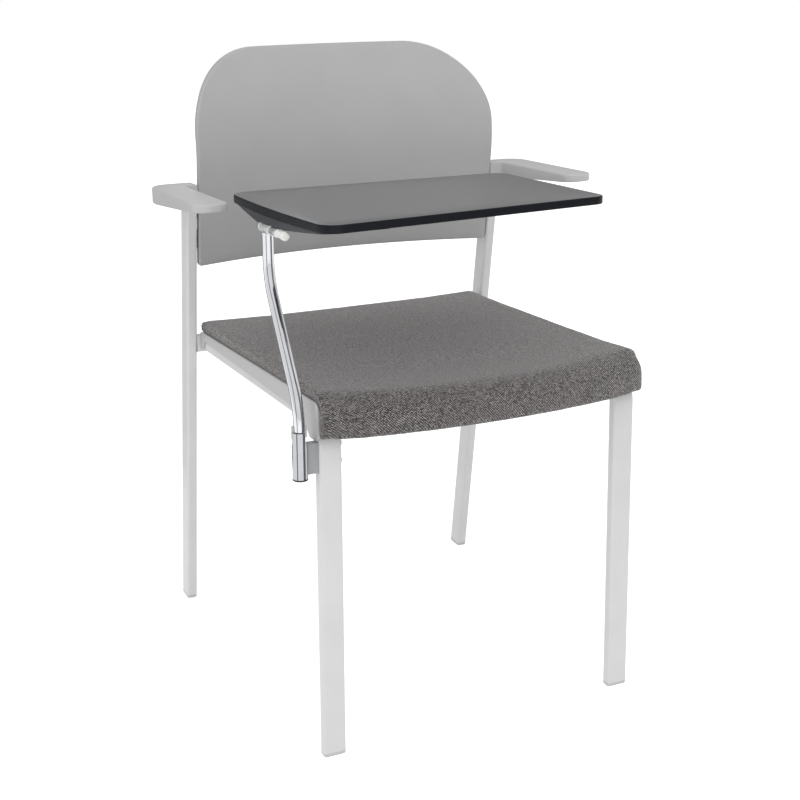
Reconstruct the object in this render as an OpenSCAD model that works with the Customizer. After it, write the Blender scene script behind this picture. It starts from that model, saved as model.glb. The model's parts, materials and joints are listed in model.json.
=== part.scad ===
// Tablet arm chair: tube frame, bent back panel, upholstered seat and a folding writing tablet
// +Z is up, the sitter faces -Y, and the tablet is on the sitter's right, at -X

/* [Frame tube] */
// Wide side of the frame tube
tube_w = 30; // [26:1:34]
// Narrow side of the frame tube
tube_t = 15; // [13:1:18]
// Wall of the frame tube
tube_wall = 1.5; // [1:0.1:2.5]
// Outer corner radius of the frame tube
tube_r = 3.5; // [2.5:0.5:5]
// Centre-line radius of the bend from leg to side rail
bend_r = 32; // [28:1:38]

/* [Stance] */
// Distance of the front feet's centre line ahead of the origin
front_reach = 242; // [225:1:260]
// Distance from the front feet to the rear feet
foot_pitch = 526.4; // [500:1:550]
// How far the front feet stand inside the rear feet
leg_inset = 26.2; // [24:0.1:30]
// Backward lean of the front legs, degrees
leg_lean = 1.56; // [0:0.01:3]
// Inward lean of the front legs, degrees
leg_splay = 0.57; // [0:0.01:1]
// Forward lean of the rear uprights, degrees
upright_lean = 8.08; // [6:0.01:10]
// Height of each plastic glide
glide_h = 5; // [4:0.5:8]

/* [Seat] */
// Backward slope of the seat, degrees
seat_tilt = 2; // [1:0.5:4]
// Height of the side rails' centre line, midway between the feet
rail_z = 435.6; // [414:1:454]
// Height that the shell's pads lift its plate above the rails
seat_rise = 6; // [4:0.5:8]
// Height of the rear cross tube's centre line
cross_z = 430.5; // [426:0.5:432]
// Height of the rear cross tube's section
cross_h = 25; // [20:1:25]
// Wall of the moulded seat shell
shell_wall = 2.5; // [2:0.1:3.5]
// Width of the rounded lip round the cushion
lip_w = 4; // [3:0.1:4.5]
// Depth of the shell's front below the seat's own zero line
chin_h = 26; // [22:1:30]
// Height of the shell's side lip above the seat's own zero line, at the front
lip_h = 21.8; // [19:0.1:22.5]
// Thickness of the plywood seat board
board_t = 4; // [3:0.5:5]
// Height of the cushion's edge above the board
pad_h = 9; // [7:0.5:12]
// Extra height of the cushion's middle
crown_h = 5; // [2:1:8]
// Distance that the cushion's sides draw in at the middle of their length
pad_draw = 1.5; // [0:0.5:3]
// Distance that the middle of the seat's front edge bows forward of its corners
bow_h = 26; // [15:1:30]
// Rear edge of the cushion, behind the middle of the chair
pad_rear = 197; // [192:1:200]
// Front corners of the cushion, ahead of the middle of the chair
pad_front = 273; // [270:1:280]
// Depth of the cushion's front roll below the seat's own zero line
roll_h = 21.5; // [18:0.5:23]

/* [Back panel] */
// Width of the back panel
panel_w = 459; // [440:1:480]
// Clearance between the panel's edge and each upright
panel_clear = 2.4; // [1.5:0.1:5]
// Thickness of the back panel
panel_t = 12; // [10:1:14]
// Height of the panel's lower edge
panel_z0 = 549; // [530:1:570]
// Height of the panel's upper edge
panel_z1 = 845; // [830:1:860]
// Radius of the panel's upper corners
panel_corner = 112; // [90:1:120]
// Plan radius of the panel's front face at its lower edge
panel_curve = 745; // [700:5:800]
// Front face of the panel at its lower edge, behind the middle of the chair
panel_y = 205; // [200:1:210]
// Forward lean of the panel's lower part, degrees
lumbar_lean = 6.9; // [5:0.1:9]
// Height at which the panel starts to bend back
lumbar_z = 685; // [670:1:700]
// Radius of the panel's backward bend
lumbar_r = 200; // [180:5:220]
// Backward lean of the panel's top, degrees
top_lean = 29; // [20:1:32]

/* [Arm pads] */
// Width of an arm pad
arm_w = 45; // [40:1:50]
// Distance of the pads' inner edges outside the uprights' centre line
arm_set = 9.2; // [8.5:0.1:16]
// Front end of the pads, ahead of the middle of the chair
arm_front = 36; // [20:1:36]
// Rear end of the pads, behind the middle of the chair
arm_rear = 188; // [187:1:195]
// Height of the pads' level underside, over the uprights
arm_seat_z = 646; // [636:1:656]
// Height of the neck between each pad and its upright
neck_h = 6.5; // [4:0.5:10]
// Thickness of a pad over the upright
arm_t = 20.7; // [18:0.1:24]
// Rise of the pad's top from its rear end to its front end
arm_rise = 9.3; // [0:0.1:12]
// Thickness of a pad at its front end
arm_tip_t = 10.7; // [9:0.1:14]
// Length of a pad's spigot in the upright
spigot_l = 34; // [30:1:45]

/* [Tablet support] */
// Outer diameter of the chrome support tube
post_d = 14; // [13:0.5:15]
// Wall of the support tube
post_wall = 1.5; // [1:0.1:2]
// Angle of the support tube's crank, degrees
crank_a = 33.5; // [28:0.5:38]
// Centre-line radius of the crank's bends
crank_r = 90; // [70:5:100]
// Height of the crank's lower bend
crank_z = 470; // [462:1:480]
// Distance of the socket's axis outside the front foot
socket_out = 34.3; // [33:0.1:37]
// Distance of the socket's axis ahead of the middle of the chair
socket_y = 256.6; // [250:0.1:257]
// Height of the socket's lower end
socket_z = 381.4; // [375:0.1:388]
// Length of the socket
socket_l = 58.6; // [52:0.1:62]
// Outer diameter of the socket
socket_d = 19; // [18:0.5:19.5]
// Distance of the tablet hinge's middle ahead of the middle of the chair
hinge_y = 167; // [164:0.5:170]
// Height of the tablet hinge's axis
hinge_z = 667.5; // [663:0.5:672]
// Diameter of the hinge's barrel and knuckles
barrel_d = 11; // [10:0.5:11.5]
// Length of the hinge's barrel
barrel_l = 32; // [26:1:36]
// Length of the hinge leaf's front knuckle
knuckle_l = 19; // [15:1:20]
// Length of the hinge leaf's rear knuckle
rear_knuckle_l = 6; // [5:1:12]
// Diameter of the hinge pin
pin_d = 6; // [5:0.5:6.5]
// Running clearance round the hinge pin and round the support tube
run_gap = 0.05; // [0.03:0.01:0.08]
// Angle through which the support tube can swing, degrees
swing_a = 60; // [40:5:75]

/* [Tablet] */
// Slope of the tablet towards the sitter, degrees
tablet_tilt = 1.5; // [0:0.1:3]
// Thickness of the tablet board
tablet_t = 10; // [8:0.5:12]
// Height of the board's underside above the hinge axis
tablet_lift = 15.4; // [14.5:0.1:17]
// Width of the board along its rear edge
tablet_w = 387; // [360:1:410]
// Depth of the board at its hinged end
tablet_d = 285; // [270:1:285]
// Depth of the board at its free end
tablet_d2 = 242; // [220:1:250]
// Distance of the board's rear corner outside the hinge axis
tablet_out = 3.3; // [2:0.1:5]
// Outward bulge of the board's hinged end
tablet_bulge = 5.5; // [3:0.5:8]
// Radius of the board's corners
tablet_r = 22; // [15:1:25]
// Radius of the board's front corner at its free end
tablet_tip_r = 16; // [12:1:22]
// Depth of the hinge cover below the board
cover_h = 11.2; // [11:0.1:12.5]
// Wall of the hinge cover
cover_wall = 2.2; // [1.8:0.1:3]

/* [Hidden] */
$fn = 48;

frame_grey = [0.83, 0.83, 0.83];
panel_grey = [0.62, 0.62, 0.62];
shell_grey = [0.66, 0.66, 0.66];
fabric_grey = [0.42, 0.40, 0.39];
chrome = [0.80, 0.81, 0.82];
steel = [0.60, 0.61, 0.63];
anthracite = [0.16, 0.17, 0.19];
nylon = [0.94, 0.94, 0.92];
plywood = [0.76, 0.62, 0.42];
rubber = [0.10, 0.10, 0.10];

// Y of the line midway between the front feet and the rear feet
mid_y = foot_pitch / 2 - front_reach;
// Gap between pieces that are set in or on each other without touching
gap = 0.3;
// Small overlap that joins the pieces of one solid
weld = 0.02;
// A tube is a trace fuller in its bends, and its straight stretches reach a little into them
fuller = 0.01;
reach = 0.3;
// Room that is larger than the whole chair
big = 1200;

// Feet, all of which stand on lines set out from the back panel's width
rear_foot_x = panel_w / 2 + panel_clear + tube_t / 2;
front_foot_x = rear_foot_x - leg_inset;

// Front leg and side rail
rail_x = front_foot_x - rail_z * tan(leg_splay);
corner_y = (-foot_pitch / 2 + rail_z * tan(leg_lean)) / (1 + tan(leg_lean) * tan(seat_tilt));
corner_z = rail_z - corner_y * tan(seat_tilt);
corner_a = 90 + seat_tilt - leg_lean;
corner_l = bend_r * tan(corner_a / 2);
leg_l = corner_z / cos(leg_lean) - corner_l;

// Rear uprights and cross tubes
upright_d = tube_w / cos(upright_lean);
inner_x = rear_foot_x - tube_t / 2;
function upright_y(z) = foot_pitch / 2 - z * tan(upright_lean);
cross_y = upright_y(cross_z) - upright_d / 2 + tube_t / 2;
rail_end = cross_y - tube_t / 2;
front_cross_v = -176;
glide_plug = 22;

// Seat, in the seat's own frame: v runs back along the rails and w is square to them
rail_h = tube_t / 2;
rail_low = -seat_rise - rail_h;
rail_top = -seat_rise + rail_h + tube_w / 2 * tan(leg_splay) + 0.05;
plate_bottom = rail_top + seat_rise;
plate_top = plate_bottom + shell_wall;
board_top = plate_top + board_t;
pad_bottom = board_top + gap;
shell_clear = 0.5;
pad_top = board_top + pad_h;
shell_x = rail_x + tube_w / 2 + shell_clear + shell_wall;
shell_in_x = shell_x - shell_wall;
shell_front = pad_front - 11;
bow_r = (pow(shell_x, 2) + pow(bow_h, 2)) / (2 * bow_h);
lip_r = lip_h - plate_top;
front_drop = roll_h - 1.5;
shell_rear = rail_end - 1;
lip_x = shell_x - lip_w;
roll_clear = 0.5;
pad_x = lip_x - gap;
seat_pad_w = 20;
seat_pad_l = 36;
seat_screw_v = [-140, 130];
seat_screw_d = 5;
seat_head_gap = 0.1;
rib_x = [-150, -75, 0, 75, 150];
rib_v = [-110, -30, 50, 130];
rib_t = 2.2;
rib_h = 7;

// Back panel and its brackets
panel_axis_y = panel_y - panel_curve;
function panel_rear_y(x, z) = panel_axis_y + sqrt(
    pow(panel_curve + panel_t / cos(lumbar_lean) - (z - panel_z0) * tan(lumbar_lean), 2) - x * x);
bracket_z = [585, 628];
bracket_l = 32;
bracket_h = 26;
bracket_t = 3;
bracket_clear = 1.7;
bracket_y = panel_rear_y(inner_x - bracket_l, bracket_z[0] - bracket_h / 2) + bracket_clear;
back_screw_x = inner_x - 20;
back_screw_d = 5;
back_screw_l = 10;
back_boss_d = 16;
back_boss_l = 24;
head_d = 9;
head_h = 3;

// Arm pads
arm_x = rear_foot_x + arm_set;
arm_inner = panel_w / 2 + 1;
elbow_front = 157;
arm_screw_z = arm_seat_z - neck_h - 14;
arm_screw_d = 5;

// Socket and support tube
socket_x = front_foot_x + socket_out;
socket_bore = post_d + 3;
plug_l = 8;
post_bottom = socket_z + plug_l + gap;
notch_h = 16;
notch_play = 2;
collar_a = 180;
collar_h = 14;
bracket_screw_z = [socket_z + 14, socket_z + 36];
bracket_screw_d = 5;
hold_l = 38;
crank_reach = socket_y - hinge_y;
crank_t = crank_r * tan(crank_a / 2);
crank_l = crank_reach / sin(crank_a) - 2 * crank_t;
crank_z2 = crank_z + crank_reach / tan(crank_a);
post_top = hinge_z - barrel_d / 2 - 1.5;

// Hinge, in the tablet's own frame: v runs back along the hinge axis and w is up
leaf_t = 3;
leaf_l = 92;
leaf_w = 66;
leaf_x = 12;
leaf_screw_x = [leaf_x + 24, leaf_x + 54];
leaf_screw_v = 34;
leaf_screw_d = 4;
cover_screw_d = 3;
cover_screw_l = 10;
cover_head_h = 1.8;
cover_seat = 4;
cover_screw_x = leaf_x + 40;
cover_screw_v = [-84, 72];
nose_x = 30;
nose_l = 20;
nose_t = 6;
stop_t = 3;
nose_top = tablet_lift - leaf_t - stop_t - gap;
washer_t = 1;
knuckle_v = barrel_l / 2 + washer_t;
knuckle_end = knuckle_v + knuckle_l;
pin_rear = knuckle_v + rear_knuckle_l;
cap_d = 11;
cap_l = 24.5;
cap_neck_l = 8;
cap_groove_l = 4.5;
pin_front = knuckle_end + cap_l - 4;
web_x = 2.5;
cover_x = 92;
cover_floor = tablet_lift - cover_h;
cover_clear = 0.5;
cover_deep = [-37, 28];
pass_x = [1.8, nose_x + 2];
tablet_rear = 129;
tablet_front = tablet_d - tablet_rear;
tablet_skew = 13.9;
tablet_drop = 8.8;

// Rectangle with round corners, centred
module rounded(w, h, r) {
    square([w - 2 * r, h], center = true);
    square([w, h - 2 * r], center = true);
    for (x = [-1, 1], y = [-1, 1]) translate([x * (w / 2 - r), y * (h / 2 - r)]) circle(r);
}

// Hollow section of the frame tube, w across and h high
module tube_ring(w, h) {
    difference() {
        rounded(w, h, tube_r);
        rounded(w - 2 * tube_wall, h - 2 * tube_wall, tube_r - tube_wall);
    }
}

// Repeats its children on the sitter's left, or mirrored on the right
module on_side(left) {
    if (left) children();
    else mirror([1, 0, 0]) children();
}

// Bend of a section that is radial by axial, from heading +Z towards +Y
module bend(radius, angle) {
    translate([0, radius, 0]) rotate([90, 0, 0]) rotate([0, -90, 0])
        rotate_extrude(angle = angle, $fn = 64) translate([radius, 0]) children();
}

// Goes to the end of such a bend
module after_bend(radius, angle) {
    translate([0, radius * (1 - cos(angle)), radius * sin(angle)]) rotate([-angle, 0, 0]) children();
}

module slab(z0, z1) {
    translate([-big / 2, -big / 2, z0]) cube([big, big, z1 - z0]);
}

// The seat's own frame, whose zero line lies above the rails' centre line
module seat_frame() {
    translate([0, mid_y, rail_z + seat_rise]) rotate([-seat_tilt, 0, 0]) children();
}

module tablet_frame() {
    translate([-socket_x, mid_y - hinge_y, hinge_z]) rotate([-tablet_tilt, 0, 0]) children();
}

// Side frame: foot, front leg, bend and side rail

module leg_frame() {
    translate([front_foot_x, mid_y - foot_pitch / 2, 0]) rotate([0, -leg_splay, 0])
        rotate([-leg_lean, 0, 0]) children();
}

// Side frame's tube as a solid, drawn in by an inset to give its bore
module side_tube(inset) {
    module section(w, h, more) rounded(w - 2 * inset + more, h - 2 * inset + more, tube_r - inset);
    rail_l = (rail_end - corner_y) / cos(seat_tilt) - corner_l;
    leg_frame() {
        translate([0, 0, -10]) linear_extrude(leg_l + 10 + reach) section(tube_w, tube_t, 0);
        translate([0, 0, leg_l]) {
            bend(bend_r, corner_a) section(tube_t, tube_w, 2 * fuller);
            after_bend(bend_r, corner_a) translate([0, 0, -reach])
                linear_extrude(rail_l + 20 + reach) section(tube_w, tube_t, 0);
        }
    }
}

// Axes of the screws that join seat and rails
module seat_screw_axes() {
    seat_frame() for (x = [-rail_x, rail_x], v = seat_screw_v) translate([x, v, 0]) children();
}

// Axes of the screws that hold the socket's bracket, pointing out to the right
module bracket_screw_axes() {
    mirror([1, 0, 0]) leg_frame() for (z = bracket_screw_z) translate([0, 0, z])
        rotate([0, 90, 0]) children();
}

module side_frame(left) {
    difference() {
        on_side(left) difference() {
            side_tube(0);
            side_tube(tube_wall);
        }
        slab(-50, glide_h);
        translate([0, mid_y + rail_end, 0]) translate([-big / 2, 0, 0]) cube([big, big, big]);
        seat_screw_axes() cylinder(h = 60, r = seat_screw_d / 2 + 0.25, center = true);
        if (!left) bracket_screw_axes() cylinder(h = 60, r = bracket_screw_d / 2 + 0.25, center = true);
    }
}

module side_frame_left() color(frame_grey) side_frame(true);
module side_frame_right() color(frame_grey) side_frame(false);

// Rear uprights, which also carry the arm pads

module upright_frame() {
    translate([rear_foot_x, mid_y + foot_pitch / 2, 0]) rotate([upright_lean, 0, 0]) children();
}

module upright_tube(hollow) {
    upright_frame() translate([0, 0, -20]) linear_extrude(arm_seat_z + 60) {
        if (hollow) tube_ring(tube_t, tube_w);
        else rounded(tube_t, tube_w, tube_r);
    }
}

// Axis of the screw that holds an arm pad, pointing back out of the upright
module arm_screw_axis() {
    translate([rear_foot_x, mid_y + upright_y(arm_screw_z), arm_screw_z])
        rotate([upright_lean - 90, 0, 0]) children();
}

module rear_upright(left) {
    on_side(left) difference() {
        upright_tube(true);
        slab(-50, glide_h);
        slab(arm_seat_z - neck_h, arm_seat_z + 100);
        arm_screw_axis() cylinder(h = tube_w, r = arm_screw_d / 2 + 0.25);
    }
}

module rear_upright_left() color(frame_grey) rear_upright(true);
module rear_upright_right() color(frame_grey) rear_upright(false);

module rear_cross_tube() color(frame_grey) {
    translate([-inner_x, mid_y + cross_y, cross_z]) rotate([90, 0, 90])
        linear_extrude(2 * inner_x) tube_ring(tube_t, cross_h);
}

module front_cross_tube() color(frame_grey) {
    difference() {
        seat_frame() translate([-rail_x, front_cross_v, -seat_rise]) rotate([90, 0, 90])
            linear_extrude(2 * rail_x) tube_ring(tube_w, tube_t);
        side_tube(0);
        mirror([1, 0, 0]) side_tube(0);
    }
}

// Plastic glide: a foot under the tube and a plug in its bore

module foot_shape(w, h) {
    translate([0, 0, -10]) linear_extrude(30) rounded(w - 1.6, h - 1.6, tube_r - 0.8);
}

module front_glide(left) {
    on_side(left) {
        intersection() {
            side_tube(0);
            slab(1.5, glide_h);
        }
        intersection() {
            leg_frame() foot_shape(tube_w, tube_t);
            slab(0, 1.5 + weld);
        }
        intersection() {
            leg_frame() linear_extrude(glide_plug + glide_h)
                rounded(tube_w - 2 * tube_wall - gap, tube_t - 2 * tube_wall - gap, tube_r - tube_wall);
            slab(glide_h - weld, glide_h + glide_plug);
        }
    }
}

module rear_glide(left) {
    on_side(left) {
        intersection() {
            upright_tube(false);
            slab(1.5, glide_h);
        }
        intersection() {
            upright_frame() foot_shape(tube_t, tube_w);
            slab(0, 1.5 + weld);
        }
        intersection() {
            upright_frame() linear_extrude(glide_plug + glide_h)
                rounded(tube_t - 2 * tube_wall - gap, tube_w - 2 * tube_wall - gap, tube_r - tube_wall);
            slab(glide_h - weld, glide_h + glide_plug);
        }
    }
}

module front_glide_left() color(panel_grey) front_glide(true);
module front_glide_right() color(panel_grey) front_glide(false);
module rear_glide_left() color(panel_grey) rear_glide(true);
module rear_glide_right() color(panel_grey) rear_glide(false);

// Back panel: one curve in plan, and in section a lean forward, a bend and a lean back

function turn(centre, radius, a0, a1, steps) =
    [for (i = [0:steps]) centre + radius * [cos(a0 + (a1 - a0) * i / steps), sin(a0 + (a1 - a0) * i / steps)]];

module panel_blank(offset_in, thickness) {
    base = [panel_curve, panel_z0];
    start = [panel_curve - (lumbar_z - panel_z0) * tan(lumbar_lean), lumbar_z];
    centre = start + lumbar_r * [cos(lumbar_lean), sin(lumbar_lean)];
    sweep0 = 180 + lumbar_lean;
    sweep1 = 180 - top_lean;
    r0 = lumbar_r - offset_in;
    r1 = r0 - thickness;
    run = [-tan(lumbar_lean), 1];
    out = [cos(lumbar_lean), sin(lumbar_lean)];
    top_dir = [sin(top_lean), cos(top_lean)] * 120;
    front = concat([base - 40 * run + offset_in * out], turn(centre, r0, sweep0, sweep1, 12));
    rear = concat(turn(centre, r1, sweep1, sweep0, 12), [base - 40 * run + (offset_in + thickness) * out]);
    rotate_extrude($fn = 180) polygon(concat(
        front, [front[len(front) - 1] + top_dir, rear[0] + top_dir], rear));
}

module panel_outline() {
    w = panel_w / 2;
    translate([-w, panel_z0]) square([panel_w, panel_z1 - panel_corner - panel_z0]);
    translate([-w + panel_corner, panel_z0]) square([panel_w - 2 * panel_corner, panel_z1 - panel_z0]);
    for (s = [-1, 1]) translate([s * (w - panel_corner), panel_z1 - panel_corner])
        circle(panel_corner, $fn = 96);
}

// Axes of the panel's screws, pointing back, on the sitter's left
module back_screw_axes() {
    for (z = bracket_z) translate([back_screw_x, mid_y + bracket_y, z]) rotate([-90, 0, 0]) children();
}

module back_panel() color(panel_grey) difference() {
    union() {
        intersection() {
            translate([0, mid_y + panel_axis_y, 0]) panel_blank(0, panel_t);
            translate([0, mid_y + big, 0]) rotate([90, 0, 0]) linear_extrude(big) panel_outline();
        }
        for (left = [true, false]) on_side(left) difference() {
            back_screw_axes() translate([0, 0, -back_boss_l]) cylinder(h = back_boss_l, r = back_boss_d / 2);
            translate([0, mid_y + panel_axis_y, 0]) panel_blank(-60, 60 + panel_t / 2);
        }
    }
    for (left = [true, false]) on_side(left) back_screw_axes()
        translate([0, 0, -back_screw_l - 2]) cylinder(h = back_screw_l + 4, r = back_screw_d / 2 + 0.1);
}

module back_brackets(left) {
    on_side(left) difference() {
        for (z = bracket_z) translate([inner_x - bracket_l, mid_y + bracket_y, z - bracket_h / 2])
            cube([bracket_l, bracket_t, bracket_h]);
        back_screw_axes() cylinder(h = 20, r = back_screw_d / 2 + 0.25, center = true);
    }
}

module back_brackets_left() color(frame_grey) back_brackets(true);
module back_brackets_right() color(frame_grey) back_brackets(false);

module back_screws() color(steel) for (left = [true, false]) on_side(left) back_screw_axes() {
    translate([0, 0, bracket_t]) cylinder(h = head_h, r = head_d / 2);
    translate([0, 0, -back_screw_l]) cylinder(h = back_screw_l + bracket_t + weld, r = back_screw_d / 2);
}

// Arm pad: a strip beside the sitter and an elbow on the upright

module arm_outline() {
    x1 = arm_x + arm_w;
    r_in = 16;
    r_out = 22;
    r_rear = 28;
    translate([arm_x, -arm_front + r_out]) square([arm_w, arm_front + arm_rear - r_out - r_rear]);
    translate([arm_x + r_in, -arm_front]) square([arm_w - r_in - r_out, r_out + 1]);
    translate([arm_x, -arm_front + r_in]) square([r_in, r_out - r_in + 1]);
    translate([arm_x + r_in, -arm_front + r_in]) circle(r_in);
    translate([x1 - r_out, -arm_front + r_out]) circle(r_out);
    translate([x1 - r_rear, arm_rear - r_rear]) circle(r_rear);
    translate([arm_inner, elbow_front]) square([x1 - r_rear - arm_inner, arm_rear - elbow_front]);
    difference() {
        translate([arm_x - 8, elbow_front - 8]) square([9, 9]);
        translate([arm_x - 8, elbow_front - 8]) circle(8);
    }
}

// Side view of a pad, with its level seat on the upright and its rising underside
module arm_side() {
    top = arm_seat_z + arm_t;
    polygon([[arm_rear + 1, arm_seat_z], [150, arm_seat_z],
        [-arm_front - 1, top + arm_rise - arm_tip_t],
        [-arm_front - 1, top + arm_rise], [arm_rear + 1, top]]);
}

module arm_pad(left) {
    on_side(left) difference() {
        union() {
            intersection() {
                translate([0, mid_y, 0]) linear_extrude(big) arm_outline();
                translate([0, mid_y, 0]) rotate([90, 0, 90]) linear_extrude(big) arm_side();
            }
            intersection() {
                upright_tube(false);
                slab(arm_seat_z - neck_h, arm_seat_z + weld);
            }
            intersection() {
                upright_frame() linear_extrude(big)
                    rounded(tube_t - 2 * tube_wall - gap, tube_w - 2 * tube_wall - gap, tube_r - tube_wall);
                slab(arm_seat_z - neck_h - spigot_l, arm_seat_z);
            }
        }
        arm_screw_axis() cylinder(h = tube_w, r = arm_screw_d / 2 + 0.1);
    }
}

module arm_pad_left() color(shell_grey) arm_pad(true);
module arm_pad_right() color(shell_grey) arm_pad(false);

module arm_screws() color(steel) for (left = [true, false]) on_side(left) arm_screw_axis() {
    translate([0, 0, tube_w / 2]) cylinder(h = head_h - 0.5, r = head_d / 2);
    translate([0, 0, 2]) cylinder(h = tube_w / 2 - 2 + weld, r = arm_screw_d / 2);
}

// Seat shell: a moulded pan with side lips, a deep front and ribs under its plate

module shell_side() {
    nose = -shell_front - bow_h - 2;
    polygon(concat(
        [[shell_rear, -12], [shell_rear, board_top - 0.6], [-157, lip_h - 1.2]],
        turn([-shell_front + lip_r, plate_top], lip_r, 80, 180, 8),
        [[nose, plate_top], [nose, -front_drop], [-shell_front, -front_drop]],
        turn([-shell_front + 9, -chin_h + 9], 9, 200, 270, 5),
        turn([-shell_front + 24, -chin_h + 5], 5, 270, 330, 4),
        [[-216, -8], [-205, -5], [-160, -2], [shell_rear - 14, 3], [shell_rear - 8, -11]]));
}

// Plan of the seat, with its bowed front edge, drawn in by an inset on all sides but the rear
module seat_plan(inset) {
    nose = -shell_front - bow_h;
    intersection() {
        translate([-shell_x + inset, nose - 1]) square([2 * (shell_x - inset), shell_rear - nose + 1]);
        translate([0, nose + bow_r]) circle(bow_r - inset, $fn = 360);
    }
}

module seat_shell() color(shell_grey) seat_frame() {
    difference() {
        intersection() {
            translate([-shell_x, 0, 0]) rotate([90, 0, 90]) linear_extrude(2 * shell_x) shell_side();
            translate([0, 0, -60]) linear_extrude(120) seat_plan(0);
        }
        translate([-lip_x, -shell_front - bow_h - 1, plate_top]) cube([2 * lip_x, 600, 60]);
        translate([0, 0, -60]) linear_extrude(60 + plate_bottom) {
            seat_plan(shell_wall);
            translate([-shell_in_x, 0]) square([2 * shell_in_x, 300]);
        }
        for (x = [-rail_x, rail_x], v = seat_screw_v) translate([x, v, 0])
            cylinder(h = 40, r = seat_screw_d / 2 + 0.25);
    }
    difference() {
        translate([0, 0, plate_bottom - rib_h]) linear_extrude(rib_h + weld) intersection() {
            union() {
                for (x = rib_x) translate([x - rib_t / 2, -400]) square([rib_t, 400 + shell_rear - 2]);
                for (v = rib_v) translate([-shell_x, v]) square([2 * shell_x, rib_t]);
            }
            seat_plan(1);
            translate([-rail_x + tube_w / 2 + 0.6, -400]) square([2 * rail_x - tube_w - 1.2, 700]);
        }
        translate([-shell_x, front_cross_v - tube_w / 2 - 0.5, -20]) cube([2 * shell_x, tube_w + 1, 60]);
    }
    // Pads on which the shell stands on the rails, round its screws
    for (x = [-rail_x, rail_x], v = seat_screw_v) translate([x, v, rail_top]) difference() {
        translate([0, 0, (seat_rise + weld) / 2])
            cube([seat_pad_w, seat_pad_l, seat_rise + weld], center = true);
        cylinder(h = 3 * seat_rise, r = seat_screw_d / 2 + 0.25, center = true);
    }
}

module seat_board() color(plywood) seat_frame() difference() {
    translate([0, 0, plate_top]) linear_extrude(board_t) difference() {
        seat_plan(8);
        translate([-shell_x, shell_rear - 6]) square([2 * shell_x, 20]);
    }
    for (x = [-rail_x, rail_x], v = seat_screw_v) translate([x, v, 0])
        cylinder(h = plate_top + board_t - 0.8, r = seat_screw_d / 2 + 0.1);
}

module seat_screws() color(steel) seat_screw_axes() {
    translate([0, 0, rail_low - seat_head_gap - head_h]) cylinder(h = head_h, r = head_d / 2 + 0.5);
    translate([0, 0, rail_low - seat_head_gap - weld])
        cylinder(h = board_top - 1.2 - rail_low + seat_head_gap, r = seat_screw_d / 2);
}

// Cushion: each ring is the side section at one distance from the middle

function bow(x) = bow_r - sqrt(bow_r * bow_r - x * x);
function corner_in(x, r) =
    abs(x) < pad_x - r ? 0 : r - sqrt(max(0, r * r - pow(abs(x) - pad_x + r, 2)));

function pad_ring(x) =
    let (
        nose = -pad_front - bow_h + bow(x) + corner_in(x, 6),
        inner = -shell_front - bow_h + bow(x) - roll_clear,
        back = pad_rear - corner_in(x, 9),
        top = pad_top - corner_in(x, 5.5),
        low = -roll_h + corner_in(x, 5.5),
        crown = crown_h * (1 - pow(x / pad_x, 4)),
        thick = top - pad_bottom,
        roll = inner - nose,
        r_back = 0.45 * thick,
        r_low = min(7, 0.6 * roll),
        a = roll - 1.5,
        b = thick - 1.5,
        r_front = min(20, a + b + sqrt(2 * a * b)),
        span = back - r_back - nose - r_front)
    concat(
        turn([back - r_back, pad_bottom + r_back], r_back, -90, 0, 3),
        turn([back - r_back, top - r_back], r_back, 10, 90, 4),
        [for (i = [1:10]) let (t = i / 11)
            [back - r_back - span * t, top + crown * sin(180 * pow(t, 0.9))]],
        turn([nose + r_front, top - r_front], r_front, 90, 180, 8),
        turn([nose + r_low, low + r_low], r_low, 180, 270, 4),
        [[inner, low], [inner, pad_bottom], [-90, pad_bottom], [50, pad_bottom]]);

// How far the sides draw in at a place along the seat
function draw_in(v) = pad_draw * sin(180 * min(1, max(0, (v + pad_front) / (pad_front + pad_rear))));

module seat_cushion() color(fabric_grey) seat_frame() {
    half = [0.2, 0.42, 0.62, 0.78, 0.9, 0.96, 0.98, 0.992, 1];
    stations = concat([for (i = [8:-1:0]) -half[i]], [0], half);
    rings = [for (s = stations) [for (p = pad_ring(s * pad_x)) [s * (pad_x - draw_in(p[0])), p[0], p[1]]]];
    n = len(rings[0]);
    m = len(stations);
    heart = [-pad_front + 8.5, pad_bottom + 1.5];
    points = concat([for (ring = rings, p = ring) p],
        [for (side = [-1, 1]) [side * (pad_x - draw_in(heart[0])), heart[0], heart[1]]]);
    walls = [for (k = [0:m - 2], i = [0:n - 1]) let (a = k * n + i, b = k * n + (i + 1) % n)
        [a, a + n, b + n, b]];
    polyhedron(points, concat(
        [for (f = walls) [f[0], f[1], f[2]]],
        [for (f = walls) [f[0], f[2], f[3]]],
        [for (i = [0:n - 1]) [i, (i + 1) % n, m * n]],
        [for (i = [0:n - 1]) [(m - 1) * n + (i + 1) % n, (m - 1) * n + i, m * n + 1]]));
}

// Socket on the right front leg

module socket_axis() {
    translate([-socket_x, mid_y - socket_y, socket_z]) children();
}

// Ring sector from one angle to another, seen from above
module sector(a0, a1, r_in, r_out, h) {
    rotate([0, 0, a0]) rotate_extrude(angle = a1 - a0) translate([r_in, 0]) square([r_out - r_in, h]);
}

module socket_bracket() color(steel) difference() {
    mirror([1, 0, 0]) leg_frame() translate([tube_w / 2 + fuller, -tube_t / 2 + 1.5, bracket_screw_z[0] - 11])
        cube([22, tube_t - 3, hold_l]);
    socket_axis() translate([0, 0, -20]) cylinder(h = 120, r = socket_d / 2);
    translate([-socket_x - 60, mid_y - socket_y - 60, 0]) cube([60, 120, big]);
    bracket_screw_axes() cylinder(h = 25.5, r = bracket_screw_d / 2 + 0.1);
}

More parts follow.
